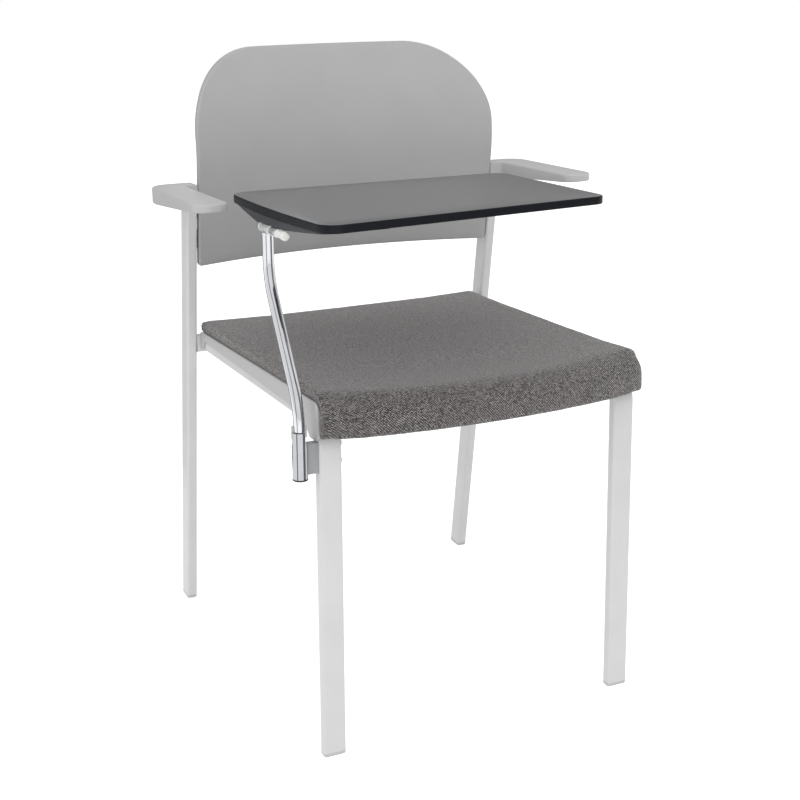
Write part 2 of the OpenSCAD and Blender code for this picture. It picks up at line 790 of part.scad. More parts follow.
module bracket_screws() color(steel) bracket_screw_axes() {
    translate([0, 0, -tube_w / 2 - head_h]) cylinder(h = head_h, r = head_d / 2);
    translate([0, 0, -tube_w / 2 - weld]) cylinder(h = tube_w + 7.5, r = bracket_screw_d / 2);
}

// The socket's mouth is cut away at the back, and the ends of the cut stop the collar
module tablet_socket() color(chrome) socket_axis() difference() {
    cylinder(h = socket_l, r = socket_d / 2);
    translate([0, 0, -1]) cylinder(h = socket_l + 2, r = socket_bore / 2);
    translate([0, 0, socket_l - notch_h])
        sector(-swing_a - notch_play, collar_a + notch_play, post_d / 2 - 2, socket_d, notch_h + 1);
}

module socket_bush() color(nylon) socket_axis() difference() {
    translate([0, 0, plug_l + 1]) cylinder(h = socket_l - notch_h - plug_l - 1, r = socket_bore / 2 - 0.05);
    cylinder(h = socket_l + 1, r = post_d / 2 + run_gap);
}

module socket_plug() color(rubber) socket_axis() {
    translate([0, 0, -2]) cylinder(h = 2, r = socket_d / 2);
    translate([0, 0, -weld]) cylinder(h = plug_l + weld, r = socket_bore / 2 - 0.1);
}

// Cranked tube that carries the tablet

module post_path(r, more) {
    low_l = crank_z - crank_t - post_bottom;
    top_l = post_top - crank_z2 - crank_t;
    translate([-socket_x, mid_y - socket_y, post_bottom]) {
        translate([0, 0, -more]) cylinder(h = low_l + more + reach, r = r);
        translate([0, 0, low_l]) {
            bend(crank_r, crank_a) rotate(90) circle(r + fuller);
            after_bend(crank_r, crank_a) {
                translate([0, 0, -reach]) cylinder(h = crank_l + 2 * reach, r = r);
                translate([0, 0, crank_l]) rotate([0, 0, 180]) {
                    bend(crank_r, crank_a) rotate(90) circle(r + fuller);
                    after_bend(crank_r, crank_a) translate([0, 0, -reach])
                        cylinder(h = top_l + more + reach, r = r);
                }
            }
        }
    }
}

module support_tube() color(chrome) difference() {
    post_path(post_d / 2, 0);
    post_path(post_d / 2 - post_wall, 1);
}

// Half collar on the tube, which turns in the socket's cut
module swing_collar() color(nylon) socket_axis() translate([0, 0, socket_l + 6 - collar_h])
    sector(0, collar_a, post_d / 2 + 0.02, socket_d / 2 + 0.2, collar_h);

// Hinge head on the tube's upper end, with a barrel for the pin and a nose that stops the leaf

module head_barrel(d, l) {
    translate([0, l / 2, 0]) rotate([90, 0, 0]) cylinder(h = l, r = d / 2);
}

module hinge_head() color(chrome) {
    difference() {
        union() {
            tablet_frame() {
                head_barrel(barrel_d, barrel_l);
                translate([web_x, -nose_l / 2, nose_top - nose_t]) cube([nose_x - web_x, nose_l, nose_t]);
                translate([web_x, -nose_l / 2, -2])
                    cube([nose_x / 2 - web_x, nose_l, nose_top - nose_t + 2 + weld]);
            }
            translate([-socket_x, mid_y - hinge_y, post_top]) cylinder(h = 2.5, r = post_d / 2);
            translate([-socket_x, mid_y - hinge_y, post_top - 22])
                cylinder(h = 24, r = post_d / 2 - post_wall - 0.05);
        }
        tablet_frame() head_barrel(pin_d + 2 * run_gap, 2 * barrel_l);
    }
}

module stop_pad() color(rubber) tablet_frame() {
    translate([nose_x - 16, -8, nose_top]) cube([14, 16, stop_t]);
}

module hinge_leaf() color(steel) tablet_frame() difference() {
    union() {
        translate([leaf_x, -leaf_l / 2, tablet_lift - leaf_t]) cube([leaf_w, leaf_l, leaf_t]);
        for (knuckle = [[-knuckle_end, knuckle_l], [knuckle_v, rear_knuckle_l]]) translate([0, knuckle[0], 0]) {
            translate([0, knuckle[1] / 2, 0]) head_barrel(barrel_d, knuckle[1]);
            translate([web_x, 0, 0]) cube([barrel_d / 2 + 1 - web_x, knuckle[1], tablet_lift]);
            translate([web_x, 0, tablet_lift - leaf_t]) cube([leaf_x + 1 - web_x, knuckle[1], leaf_t]);
        }
    }
    head_barrel(pin_d + 0.04, 4 * barrel_l);
    for (x = leaf_screw_x, s = [-1, 1]) translate([x, s * leaf_screw_v, 0])
        cylinder(h = 40, r = leaf_screw_d / 2 + 0.25);
}

module hinge_pin() color(steel) tablet_frame() {
    translate([0, pin_rear, 0]) rotate([90, 0, 0]) cylinder(h = pin_rear + pin_front, r = pin_d / 2);
}

module pin_washers() color(nylon) tablet_frame() {
    for (s = [-1, 1]) translate([0, s * (barrel_l + washer_t) / 2, 0]) difference() {
        head_barrel(barrel_d + 1, washer_t - 0.1);
        head_barrel(pin_d + 0.2, 4);
    }
}

// White cap on the pin's front end, with a groove behind its rounded head
module pin_cap() color(nylon) tablet_frame() translate([0, -knuckle_end - gap, 0]) rotate([90, 0, 0])
    rotate_extrude() polygon(concat(
        [[pin_d / 2 + 0.05, 0], [cap_d / 2 - 0.7, 0], [cap_d / 2 - 0.7, cap_neck_l],
            [pin_d / 2 + 1, cap_neck_l], [pin_d / 2 + 1, cap_neck_l + cap_groove_l],
            [cap_d / 2 - 0.5, cap_neck_l + cap_groove_l]],
        turn([cap_d / 2 - 2.5, cap_l - 2.5], 2.5, 0, 90, 6),
        [[0, cap_l], [0, cap_l - 3.5], [pin_d / 2 + 0.05, cap_l - 3.5]]));

module leaf_screws() color(steel) tablet_frame() {
    for (x = leaf_screw_x, s = [-1, 1]) translate([x, s * leaf_screw_v, tablet_lift]) {
        translate([0, 0, -leaf_t - 2]) cylinder(h = 2, r = 4);
        translate([0, 0, -leaf_t - weld]) cylinder(h = leaf_t + 7, r = leaf_screw_d / 2);
    }
}

// Tablet board: four corners with a bulged hinged end

tablet_corner = [[-tablet_out, tablet_rear], [tablet_w - tablet_out, tablet_rear - tablet_drop],
    [tablet_w - tablet_out + tablet_skew, tablet_rear - tablet_drop - tablet_d2],
    [tablet_skew - tablet_out, -tablet_front]];

function unit(v) = v / norm(v);

// Centre of the round corner b between the edges from a and to c
function fillet_centre(a, b, c, r) =
    let (u = unit(a - b), v = unit(c - b), half = acos(u * v) / 2) b + unit(u + v) * r / sin(half);

// Angle of the outward normal of the edge from a to b, with the corners in clockwise order
function normal_angle(a, b) = atan2(b[0] - a[0], a[1] - b[1]);

// Outline of the board: round corners, three straight edges and a flat arc at the hinged end
function tablet_points(inset) =
    let (
        k = tablet_corner,
        radii = [tablet_r, tablet_r, tablet_tip_r, tablet_r],
        m = [for (i = [0:3]) fillet_centre(k[(i + 3) % 4], k[i], k[(i + 1) % 4], radii[i])],
        n = [for (i = [0:2]) normal_angle(k[i], k[i + 1])],
        chord = norm(m[0] - m[3]),
        bow = (chord * chord / 4 + tablet_bulge * tablet_bulge) / (2 * tablet_bulge),
        out = normal_angle(m[3], m[0]) + 360,
        half = asin(chord / 2 / bow),
        centre = (m[0] + m[3]) / 2 - (bow - tablet_bulge) * [cos(out), sin(out)])
    concat(
        turn(m[0], radii[0] - inset, out - half, n[0], 12),
        turn(m[1], radii[1] - inset, n[0], n[1], 12),
        turn(m[2], radii[2] - inset, n[1], n[2], 12),
        turn(m[3], radii[3] - inset, n[2] + 360, out + half, 12),
        [for (i = [1:11]) let (t = out + half - 2 * half * i / 12)
            centre + (bow + tablet_r - inset) * [cos(t), sin(t)]]);

module tablet_outline(inset) {
    polygon(tablet_points(inset));
}

module tablet_board() color(anthracite) tablet_frame() difference() {
    translate([0, 0, tablet_lift]) linear_extrude(tablet_t) tablet_outline(0);
    for (x = leaf_screw_x, s = [-1, 1]) translate([x, s * leaf_screw_v, tablet_lift - 1])
        cylinder(h = 9, r = leaf_screw_d / 2 + 0.1);
    cover_screw_axes() cylinder(h = cover_screw_l + 0.5, r = cover_screw_d / 2 + 0.1);
}

// Hinge cover: a shell under the hinged end, deepest at the hinge and running out at both ends

module cover_side(inset) {
    polygon([[tablet_rear - 27, tablet_lift + 1], [tablet_rear - 27, tablet_lift - inset * 0.2],
        [cover_deep[1] - inset / 2, cover_floor + inset], [cover_deep[0] + inset / 2, cover_floor + inset],
        [-tablet_front + 6, tablet_lift - inset * 0.1], [-tablet_front + 6, tablet_lift + 1]]);
}

module cover_solid(inset) {
    intersection() {
        linear_extrude(tablet_lift) intersection() {
            tablet_outline(inset);
            translate([-40, -tablet_d]) square([cover_x + 40 - inset, 2 * tablet_d]);
        }
        translate([-40, 0, 0]) rotate([90, 0, 90]) linear_extrude(cover_x + 80) cover_side(inset);
    }
}

// Axes of the cover's screws, from the seat of their heads up
module cover_screw_axes() {
    for (v = cover_screw_v) translate([cover_screw_x, v, tablet_lift - cover_seat]) children();
}

module hinge_cover() color(anthracite) tablet_frame() difference() {
    union() {
        difference() {
            cover_solid(0);
            cover_solid(cover_wall);
        }
        intersection() {
            cover_solid(0);
            cover_screw_axes() translate([0, 0, -tablet_lift])
                cylinder(h = tablet_lift + cover_seat, r = cover_screw_d + 2);
        }
    }
    // Room for the barrel, knuckles and cap, and an opening for the leaf's webs and the head's nose
    translate([0, (pin_rear + cover_clear - pin_front - cap_l) / 2, 0])
        head_barrel(barrel_d + 2 * cover_clear, pin_rear + cover_clear + pin_front + cap_l);
    translate([pass_x[0], -knuckle_end - cover_clear, -1])
        cube([pass_x[1] - pass_x[0], knuckle_end + pin_rear + 2 * cover_clear, tablet_lift - leaf_t + 0.6]);
    cover_screw_axes() cylinder(h = cover_screw_l, r = cover_screw_d / 2 + 0.2);
    cover_screw_axes() translate([0, 0, -tablet_lift]) cylinder(h = tablet_lift, r = cover_screw_d + 0.3);
}

module cover_screws() color(steel) tablet_frame() cover_screw_axes() {
    translate([0, 0, -cover_head_h]) cylinder(h = cover_head_h, r = cover_screw_d);
    translate([0, 0, -weld]) cylinder(h = cover_screw_l, r = cover_screw_d / 2);
}

side_frame_left();
side_frame_right();
rear_upright_left();
rear_upright_right();
rear_cross_tube();
front_cross_tube();
back_brackets_left();
back_brackets_right();
front_glide_left();
front_glide_right();
rear_glide_left();
rear_glide_right();
back_panel();
back_screws();
arm_pad_left();
arm_pad_right();
arm_screws();
seat_shell();
seat_board();
seat_cushion();
seat_screws();
socket_bracket();
bracket_screws();
tablet_socket();
socket_bush();
socket_plug();
support_tube();
swing_collar();
hinge_head();
stop_pad();
hinge_leaf();
hinge_pin();
pin_washers();
pin_cap();
leaf_screws();
hinge_cover();
cover_screws();
tablet_board();
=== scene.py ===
import json
import math
import bpy
import bmesh
from mathutils import Vector, Matrix


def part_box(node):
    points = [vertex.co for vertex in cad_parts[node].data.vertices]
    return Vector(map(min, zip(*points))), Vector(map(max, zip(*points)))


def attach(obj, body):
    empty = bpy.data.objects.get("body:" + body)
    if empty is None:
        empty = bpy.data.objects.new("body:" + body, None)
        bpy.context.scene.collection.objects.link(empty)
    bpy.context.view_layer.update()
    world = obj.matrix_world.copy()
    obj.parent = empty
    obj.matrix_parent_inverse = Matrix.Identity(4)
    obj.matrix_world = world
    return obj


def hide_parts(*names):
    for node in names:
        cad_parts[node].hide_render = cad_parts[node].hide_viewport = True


# Tablet arm chair: the finishes, the soft seat and the moulded parts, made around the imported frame.
# Metres, +Z up, the sitter faces -Y and the tablet is at -X.

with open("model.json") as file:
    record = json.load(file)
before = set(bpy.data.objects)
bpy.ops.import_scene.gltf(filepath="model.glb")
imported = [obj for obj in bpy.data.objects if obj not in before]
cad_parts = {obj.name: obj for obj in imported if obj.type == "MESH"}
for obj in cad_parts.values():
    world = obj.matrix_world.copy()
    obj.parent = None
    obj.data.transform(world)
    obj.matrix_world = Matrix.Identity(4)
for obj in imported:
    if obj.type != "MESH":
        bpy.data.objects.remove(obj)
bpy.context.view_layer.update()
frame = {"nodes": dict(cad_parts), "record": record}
cadNodes = frame["nodes"]
print("frame loaded with", len(cadNodes), "nodes")


# Places that several pieces share; the hinge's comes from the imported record

seat = {"middle": Vector((0, 0.0212, 0.4416)), "tilt": math.radians(-2)}
upright = {
    "foot": Vector((0.2394, 0.2844, 0)),
    "lean": math.radians(8.08),
    "size": (0.015, 0.030),
    "corner": 0.0035,
}
joints = frame["record"]["behaviour"]["joints"]
hinge = Vector(next(joint for joint in joints if joint["name"] == "tablet_fold")["pos_m"])

seatTurn = Matrix.Rotation(-seat["tilt"], 3, "X")
seatTurnBack = seatTurn.inverted()


def toSeat(co):
    return seatTurn @ (co - seat["middle"])


def fromSeat(place):
    return seatTurnBack @ place + seat["middle"]


def clamp(value):
    return max(0.0, min(1.0, value))


# Selection and edit mode

def clearSelection():
    if bpy.context.object and bpy.context.object.mode != "OBJECT":
        bpy.ops.object.mode_set(mode="OBJECT")
    bpy.ops.object.select_all(action="DESELECT")
    bpy.context.view_layer.objects.active = None


def activate(piece):
    clearSelection()
    piece.select_set(True)
    bpy.context.view_layer.objects.active = piece


def editPiece(piece, kind="VERT"):
    activate(piece)
    bpy.ops.object.mode_set(mode="EDIT")
    bpy.ops.mesh.select_mode(type=kind)
    bpy.ops.mesh.select_all(action="DESELECT")


def leaveEdit():
    bpy.ops.object.mode_set(mode="OBJECT")


def selectParts(piece, kind, test):
    mesh = bmesh.from_edit_mesh(piece.data)
    for part in getattr(mesh, kind):
        part.select_set(bool(test(part)))
    bmesh.update_edit_mesh(piece.data)


def moveVertices(piece, place):
    for vertex in piece.data.vertices:
        vertex.co = place(vertex.co.copy())
    piece.data.update()


def nameActive(name):
    piece = bpy.context.active_object
    piece.name = name
    piece.data.name = name
    return piece


def applyPlace(piece):
    activate(piece)
    bpy.ops.object.transform_apply(location=True, rotation=True, scale=True)


def fixNormals(piece):
    editPiece(piece)
    bpy.ops.mesh.select_all(action="SELECT")
    bpy.ops.mesh.normals_make_consistent(inside=False)
    leaveEdit()


def applyModifier(piece, kind, **settings):
    activate(piece)
    modifier = piece.modifiers.new(kind.title(), kind)
    for key, value in settings.items():
        setattr(modifier, key, value)
    bpy.ops.object.modifier_apply(modifier=modifier.name)


def cutLines(piece, axis, places):
    normal = Vector((0, 0, 0))
    normal[axis] = 1
    for place in places:
        bpy.ops.mesh.select_all(action="SELECT")
        bpy.ops.mesh.bisect(plane_co=normal * place, plane_no=normal)


def spread(low, high, count):
    return [low + (high - low) * (i + 1) / (count + 1) for i in range(count)]


def smoothPiece(piece, degrees):
    activate(piece)
    bpy.ops.object.shade_smooth_by_angle(angle=math.radians(degrees))


def combine(piece, others, operation="UNION"):
    for other in others:
        applyModifier(piece, "BOOLEAN", object=other, operation=operation, solver="EXACT")
        bpy.data.objects.remove(other)


def addPiece(name, mesh):
    piece = bpy.data.objects.new(name, mesh)
    bpy.context.scene.collection.objects.link(piece)
    return piece


def mergedCopy(node, name):
    piece = addPiece(name, cadNodes[node].data.copy())
    editPiece(piece)
    bpy.ops.mesh.select_all(action="SELECT")
    bpy.ops.mesh.customdata_custom_splitnormals_clear()
    bpy.ops.mesh.remove_doubles(threshold=0.00002)
    leaveEdit()
    return piece


def dress(piece, finish, body, slotName, *replaced):
    if finish:
        piece.data.materials.clear()
        piece.data.materials.append(finish)
    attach(piece, body)
    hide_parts(*replaced)


# Finishes: every one reads Object coordinates, and the fabric also its own UV map

def screenColour(red, green, blue):
    linear = [((level / 255 + 0.055) / 1.055) ** 2.4 for level in (red, green, blue)]    # levels over 10
    return (*linear, 1.0)


def grey(level):
    return (level, level, level, 1)


def shaded(colour, factor):
    return (colour[0] * factor, colour[1] * factor, colour[2] * factor, 1.0)


def newFinish(name, roughness, metallic=0.0):
    finish = bpy.data.materials.new(name)
    finish.use_nodes = True
    tree = finish.node_tree
    shader = tree.nodes["Principled BSDF"]
    shader.inputs["Roughness"].default_value = roughness
    shader.inputs["Metallic"].default_value = metallic
    coords = tree.nodes.new("ShaderNodeTexCoord")
    return finish, tree, shader, coords.outputs["Object"]


def addNoise(tree, coords, size, detail=2.0):
    noise = tree.nodes.new("ShaderNodeTexNoise")
    noise.inputs["Scale"].default_value = 1 / size
    noise.inputs["Detail"].default_value = detail
    tree.links.new(coords, noise.inputs["Vector"])
    return noise.outputs["Fac"]


def addCells(tree, coords, size, feature="F1"):
    cells = tree.nodes.new("ShaderNodeTexVoronoi")
    cells.feature = feature
    cells.inputs["Scale"].default_value = 1 / size
    tree.links.new(coords, cells.inputs["Vector"])
    return cells


def addStretch(tree, coords, scale):
    mapping = tree.nodes.new("ShaderNodeMapping")
    mapping.inputs["Scale"].default_value = scale
    tree.links.new(coords, mapping.inputs["Vector"])
    return mapping.outputs["Vector"]


def addRamp(tree, factor, stops):
    ramp = tree.nodes.new("ShaderNodeValToRGB")
    for i, (place, colour) in enumerate(stops):
        stop = ramp.color_ramp.elements[i] if i < 2 else ramp.color_ramp.elements.new(place)
        stop.position = place
        stop.color = colour
    tree.links.new(factor, ramp.inputs["Fac"])
    return ramp.outputs["Color"]


def addRange(tree, factor, low, high):
    span = tree.nodes.new("ShaderNodeMapRange")
    span.inputs["To Min"].default_value = low
    span.inputs["To Max"].default_value = high
    tree.links.new(factor, span.inputs["Value"])
    return span.outputs["Result"]


def addMath(tree, operation, first, second):
    sum_ = tree.nodes.new("ShaderNodeMath")
    sum_.operation = operation
    tree.links.new(first, sum_.inputs[0])
    if isinstance(second, (int, float)):
        sum_.inputs[1].default_value = second
    else:
        tree.links.new(second, sum_.inputs[1])
    return sum_.outputs["Value"]


def addMix(tree, factor, first, second, blend="MIX"):
    mix = tree.nodes.new("ShaderNodeMix")
    mix.data_type = "RGBA"
    mix.blend_type = blend
    if isinstance(factor, (int, float)):
        mix.inputs["Factor"].default_value = factor
    else:
        tree.links.new(factor, mix.inputs["Factor"])
    for value, socket in ((first, mix.inputs[6]), (second, mix.inputs[7])):
        if isinstance(value, tuple):
            socket.default_value = value
        else:
            tree.links.new(value, socket)
    return mix.outputs[2]


def addBump(tree, shader, height, depth, strength=1.0):
    bump = tree.nodes.new("ShaderNodeBump")
    bump.inputs["Distance"].default_value = depth
    bump.inputs["Strength"].default_value = strength
    tree.links.new(height, bump.inputs["Height"])
    tree.links.new(bump.outputs["Normal"], shader.inputs["Normal"])


def powderCoat(name, colour, roughness=0.42):
    finish, tree, shader, coords = newFinish(name, roughness)
    clouds = addNoise(tree, coords, 0.05, 3)
    tone = addRamp(tree, clouds, [(0.3, shaded(colour, 0.975)), (0.7, shaded(colour, 1.02))])
    tree.links.new(tone, shader.inputs["Base Color"])
    tree.links.new(addRange(tree, addNoise(tree, coords, 0.012), roughness - 0.05, roughness + 0.05),
                   shader.inputs["Roughness"])
    addBump(tree, shader, addNoise(tree, coords, 0.0012, 2), 0.00004)
    return finish


def mouldedPlastic(name, colour, roughness=0.5, grain=0.0007, depth=0.00005, specular=0.5):
    finish, tree, shader, coords = newFinish(name, roughness)
    shader.inputs["Specular IOR Level"].default_value = specular
    clouds = addNoise(tree, coords, 0.08, 3)
    tone = addRamp(tree, clouds, [(0.3, shaded(colour, 0.98)), (0.7, shaded(colour, 1.02))])
    fine = addNoise(tree, coords, grain * 1.5, 2)
    speck = addRamp(tree, fine, [(0.35, grey(0.96)), (0.65, grey(1))])
    tree.links.new(addMix(tree, 1.0, tone, speck, "MULTIPLY"), shader.inputs["Base Color"])
    tree.links.new(addRange(tree, fine, roughness - 0.06, roughness + 0.06), shader.inputs["Roughness"])
    pits = addCells(tree, coords, grain)
    addBump(tree, shader, addMath(tree, "ADD", pits.outputs["Distance"], fine), depth)
    return finish


def polishedChrome(name, colour):
    finish, tree, shader, coords = newFinish(name, 0.06, 1.0)
    haze = addNoise(tree, coords, 0.02, 3)
    tree.links.new(addRamp(tree, haze, [(0.3, shaded(colour, 0.95)), (0.7, shaded(colour, 1.05))]),
                   shader.inputs["Base Color"])
    tree.links.new(addRange(tree, addNoise(tree, coords, 0.004), 0.04, 0.09), shader.inputs["Roughness"])
    return finish


def platedSteel(name, colour, roughness):
    finish, tree, shader, coords = newFinish(name, roughness, 1.0)
    haze = addNoise(tree, coords, 0.006, 4)
    tree.links.new(addRamp(tree, haze, [(0.3, shaded(colour, 0.9)), (0.7, shaded(colour, 1.08))]),
                   shader.inputs["Base Color"])
    tree.links.new(addRange(tree, haze, roughness - 0.08, roughness + 0.08), shader.inputs["Roughness"])
    addBump(tree, shader, addNoise(tree, coords, 0.0006, 2), 0.00002)
    return finish


def whiteNylon(name):
    finish, tree, shader, coords = newFinish(name, 0.4)
    clouds = addNoise(tree, coords, 0.01, 3)
    tone = addRamp(tree, clouds, [(0.3, (0.80, 0.80, 0.77, 1)), (0.7, (0.86, 0.86, 0.84, 1))])
    tree.links.new(tone, shader.inputs["Base Color"])
    shader.inputs["Subsurface Weight"].default_value = 0.15
    shader.inputs["Subsurface Radius"].default_value = (0.002, 0.002, 0.002)
    addBump(tree, shader, addNoise(tree, coords, 0.0008), 0.00002)
    return finish


def softRubber(name):
    finish, tree, shader, coords = newFinish(name, 0.7)
    tone = addRamp(tree, addNoise(tree, coords, 0.003, 3), [(0.3, grey(0.012)), (0.7, grey(0.022))])
    tree.links.new(tone, shader.inputs["Base Color"])
    addBump(tree, shader, addNoise(tree, coords, 0.0005), 0.00004)
    return finish


def birchPlywood(name):
    finish, tree, shader, coords = newFinish(name, 0.6)
    along = addStretch(tree, coords, (1.0, 0.06, 1.0))
    grain = addNoise(tree, along, 0.004, 5)
    tone = addRamp(tree, grain, [(0.3, (0.48, 0.33, 0.17, 1)), (0.7, (0.62, 0.46, 0.27, 1))])
    tree.links.new(tone, shader.inputs["Base Color"])
    addBump(tree, shader, grain, 0.0001)
    return finish


def deskLaminate(name, colour):
    finish, tree, shader, coords = newFinish(name, 0.32)
    shader.inputs["Specular IOR Level"].default_value = 1.0
    shader.inputs["Coat Weight"].default_value = 0.8
    shader.inputs["Coat Roughness"].default_value = 0.2
    clouds = addNoise(tree, coords, 0.03, 4)
    tone = addRamp(tree, clouds, [(0.3, shaded(colour, 0.96)), (0.7, shaded(colour, 1.04))])
    tree.links.new(tone, shader.inputs["Base Color"])
    fine = addNoise(tree, coords, 0.0009, 2)
    tree.links.new(addRange(tree, fine, 0.28, 0.36), shader.inputs["Roughness"])
    addBump(tree, shader, fine, 0.00003)
    return finish


loopWeave = {
    "pitch": 0.0034,        # two rows of loops, each shifted by half a loop against the next
    "stray": 0.0010,        # how far the rows waver
    # The darkest tone is painted shade in the gaps between the loops, the lightest is painted light on
    # the loop crests, and noise also spreads both as the yarn's own random tone
    "yarnDarkAndGapShade": screenColour(20, 18, 19),
    "yarnMiddle": screenColour(66, 62, 62),
    "yarnLightAndCrestLight": screenColour(170, 164, 162),
    "relief": 0.0005,
}


def loopFabric(name):
    finish, tree, shader, coords = newFinish(name, 0.85)
    weave = tree.nodes.new("ShaderNodeUVMap")
    weave.uv_map = "weave"
    parts = tree.nodes.new("ShaderNodeSeparateXYZ")
    tree.links.new(weave.outputs["UV"], parts.inputs["Vector"])
    waver = addMath(tree, "MULTIPLY", addNoise(tree, coords, 0.004, 2), loopWeave["stray"] * 2)
    waves = []
    for axis in ("X", "Y"):
        along = addMath(tree, "ADD", parts.outputs[axis], waver)
        turns = addMath(tree, "MULTIPLY", along, 2 * math.pi / loopWeave["pitch"])
        waves.append(addMath(tree, "SINE", turns, 0.0))
    loops = addMath(tree, "MULTIPLY", *waves)      # rounded loops in a diamond lattice, from -1 to 1
    # The colour follows the loop height and a noise: darker in the gaps as painted shade, lighter on the
    # crests as painted light, and varied at random as the yarn's own tone
    height = addMath(tree, "ADD", loops, addRange(tree, addNoise(tree, coords, 0.0023, 2), -1.7, 1.7))
    yarnToneAndShade = addRamp(tree, addMath(tree, "ADD", addMath(tree, "MULTIPLY", height, 0.5), 0.5), [
        (0.22, loopWeave["yarnDarkAndGapShade"]), (0.80, loopWeave["yarnLightAndCrestLight"]), (0.5, loopWeave["yarnMiddle"])])
    clouds = addRamp(tree, addNoise(tree, coords, 0.03, 3), [(0.3, grey(0.95)), (0.7, grey(1))])
    tree.links.new(addMix(tree, 1.0, yarnToneAndShade, clouds, "MULTIPLY"), shader.inputs["Base Color"])
    twist = addMath(tree, "MULTIPLY", addNoise(tree, coords, 0.0006, 3), 0.35)
    addBump(tree, shader, addMath(tree, "ADD", loops, twist), loopWeave["relief"])
    shader.inputs["Sheen Weight"].default_value = 0.55
    shader.inputs["Sheen Roughness"].default_value = 0.4
    return finish


framePaint = powderCoat("framePaint", screenColour(216, 216, 217))
# The socket bracket plate is set a darker grey than the frame
bracketPaint = powderCoat("bracketPaint", screenColour(158, 159, 161))
backPlastic = mouldedPlastic("backPlastic", screenColour(173, 173, 173))
armPlastic = mouldedPlastic("armPlastic", screenColour(187, 187, 188))
shellPlastic = mouldedPlastic("shellPlastic", screenColour(192, 192, 193))
glidePlastic = mouldedPlastic("glidePlastic", screenColour(200, 200, 201), 0.45)
coverPlastic = mouldedPlastic("coverPlastic", screenColour(42, 44, 49), 0.38, specular=0.5)
edgePlastic = mouldedPlastic("edgePlastic", screenColour(24, 26, 31), 0.4, 0.0009, 0.00003, 0.15)
tabletTop = deskLaminate("tabletTop", screenColour(50, 52, 57))
chromePlate = polishedChrome("chromePlate", (0.63, 0.64, 0.66))
socketChrome = polishedChrome("socketChrome", (0.42, 0.43, 0.45))
zincPlate = platedSteel("zincPlate", (0.62, 0.63, 0.65), 0.32)
castZinc = platedSteel("castZinc", (0.72, 0.73, 0.74), 0.5)
nylonWhite = whiteNylon("nylonWhite")
rubberBlack = softRubber("rubberBlack")
plywoodBirch = birchPlywood("plywoodBirch")
seatCloth = loopFabric("seatCloth")

nodeFinish = {
    "side_frame_left": framePaint, "side_frame_right": framePaint,
    "rear_upright_left": framePaint, "rear_upright_right": framePaint,
    "rear_cross_tube": framePaint, "front_cross_tube": framePaint,
    "front_glide_left": glidePlastic, "front_glide_right": glidePlastic,
    "rear_glide_left": glidePlastic, "rear_glide_right": glidePlastic,
    "seat_board": plywoodBirch,
    "tablet_socket": socketChrome, "socket_bush": nylonWhite, "socket_plug": rubberBlack,
    "support_tube": chromePlate, "swing_collar": glidePlastic,
    "stop_pad": rubberBlack,
    "hinge_pin": zincPlate, "pin_washers": nylonWhite, "pin_cap": nylonWhite,
}
for nodeName, finish in nodeFinish.items():
    for place in cadNodes[nodeName].material_slots:
        place.material = finish
print("finishes ready:", len(bpy.data.materials))


# Back panel: a flat outline, cut into a grid, given its thickness and laid on the curved surface

panel = {
    "cornerRadius": 0.112,
    "footRadius": 0.005,
    "planRadius": 0.745,     # front face at the lower edge, seen from above
    "frontY": 0.2262,        # front face at the middle of the lower edge
    "lowerLean": math.radians(6.9),
    "topLean": math.radians(29),
    "bendZ": 0.685,
    "bendRadius": 0.200,
    "thickness": 0.012,
    "edge": 0.003,
    "margin": 0.006,         # no cut runs nearer to the outline
    "cuts": (37, 33),
    "bossRadius": 0.008,
    "bossX": 0.2119,
    "bossZ": (0.585, 0.628),
}


def panelRadius(z, inset, low):
    start = panel["planRadius"] - (panel["bendZ"] - low) * math.tan(panel["lowerLean"])
    centreR = start + panel["bendRadius"] * math.cos(panel["lowerLean"])
    centreZ = panel["bendZ"] + panel["bendRadius"] * math.sin(panel["lowerLean"])
    radius = panel["bendRadius"] - inset
    bottom = centreZ - radius * math.sin(panel["lowerLean"])
    top = centreZ + radius * math.sin(panel["topLean"])
    if z < bottom:
        foot = centreR - radius * math.cos(panel["lowerLean"])
        return foot + (bottom - z) * math.tan(panel["lowerLean"])
    if z > top:
        head = centreR - radius * math.cos(panel["topLean"])
        return head + (z - top) * math.tan(panel["topLean"])
    return centreR - math.sqrt(radius ** 2 - (z - centreZ) ** 2)


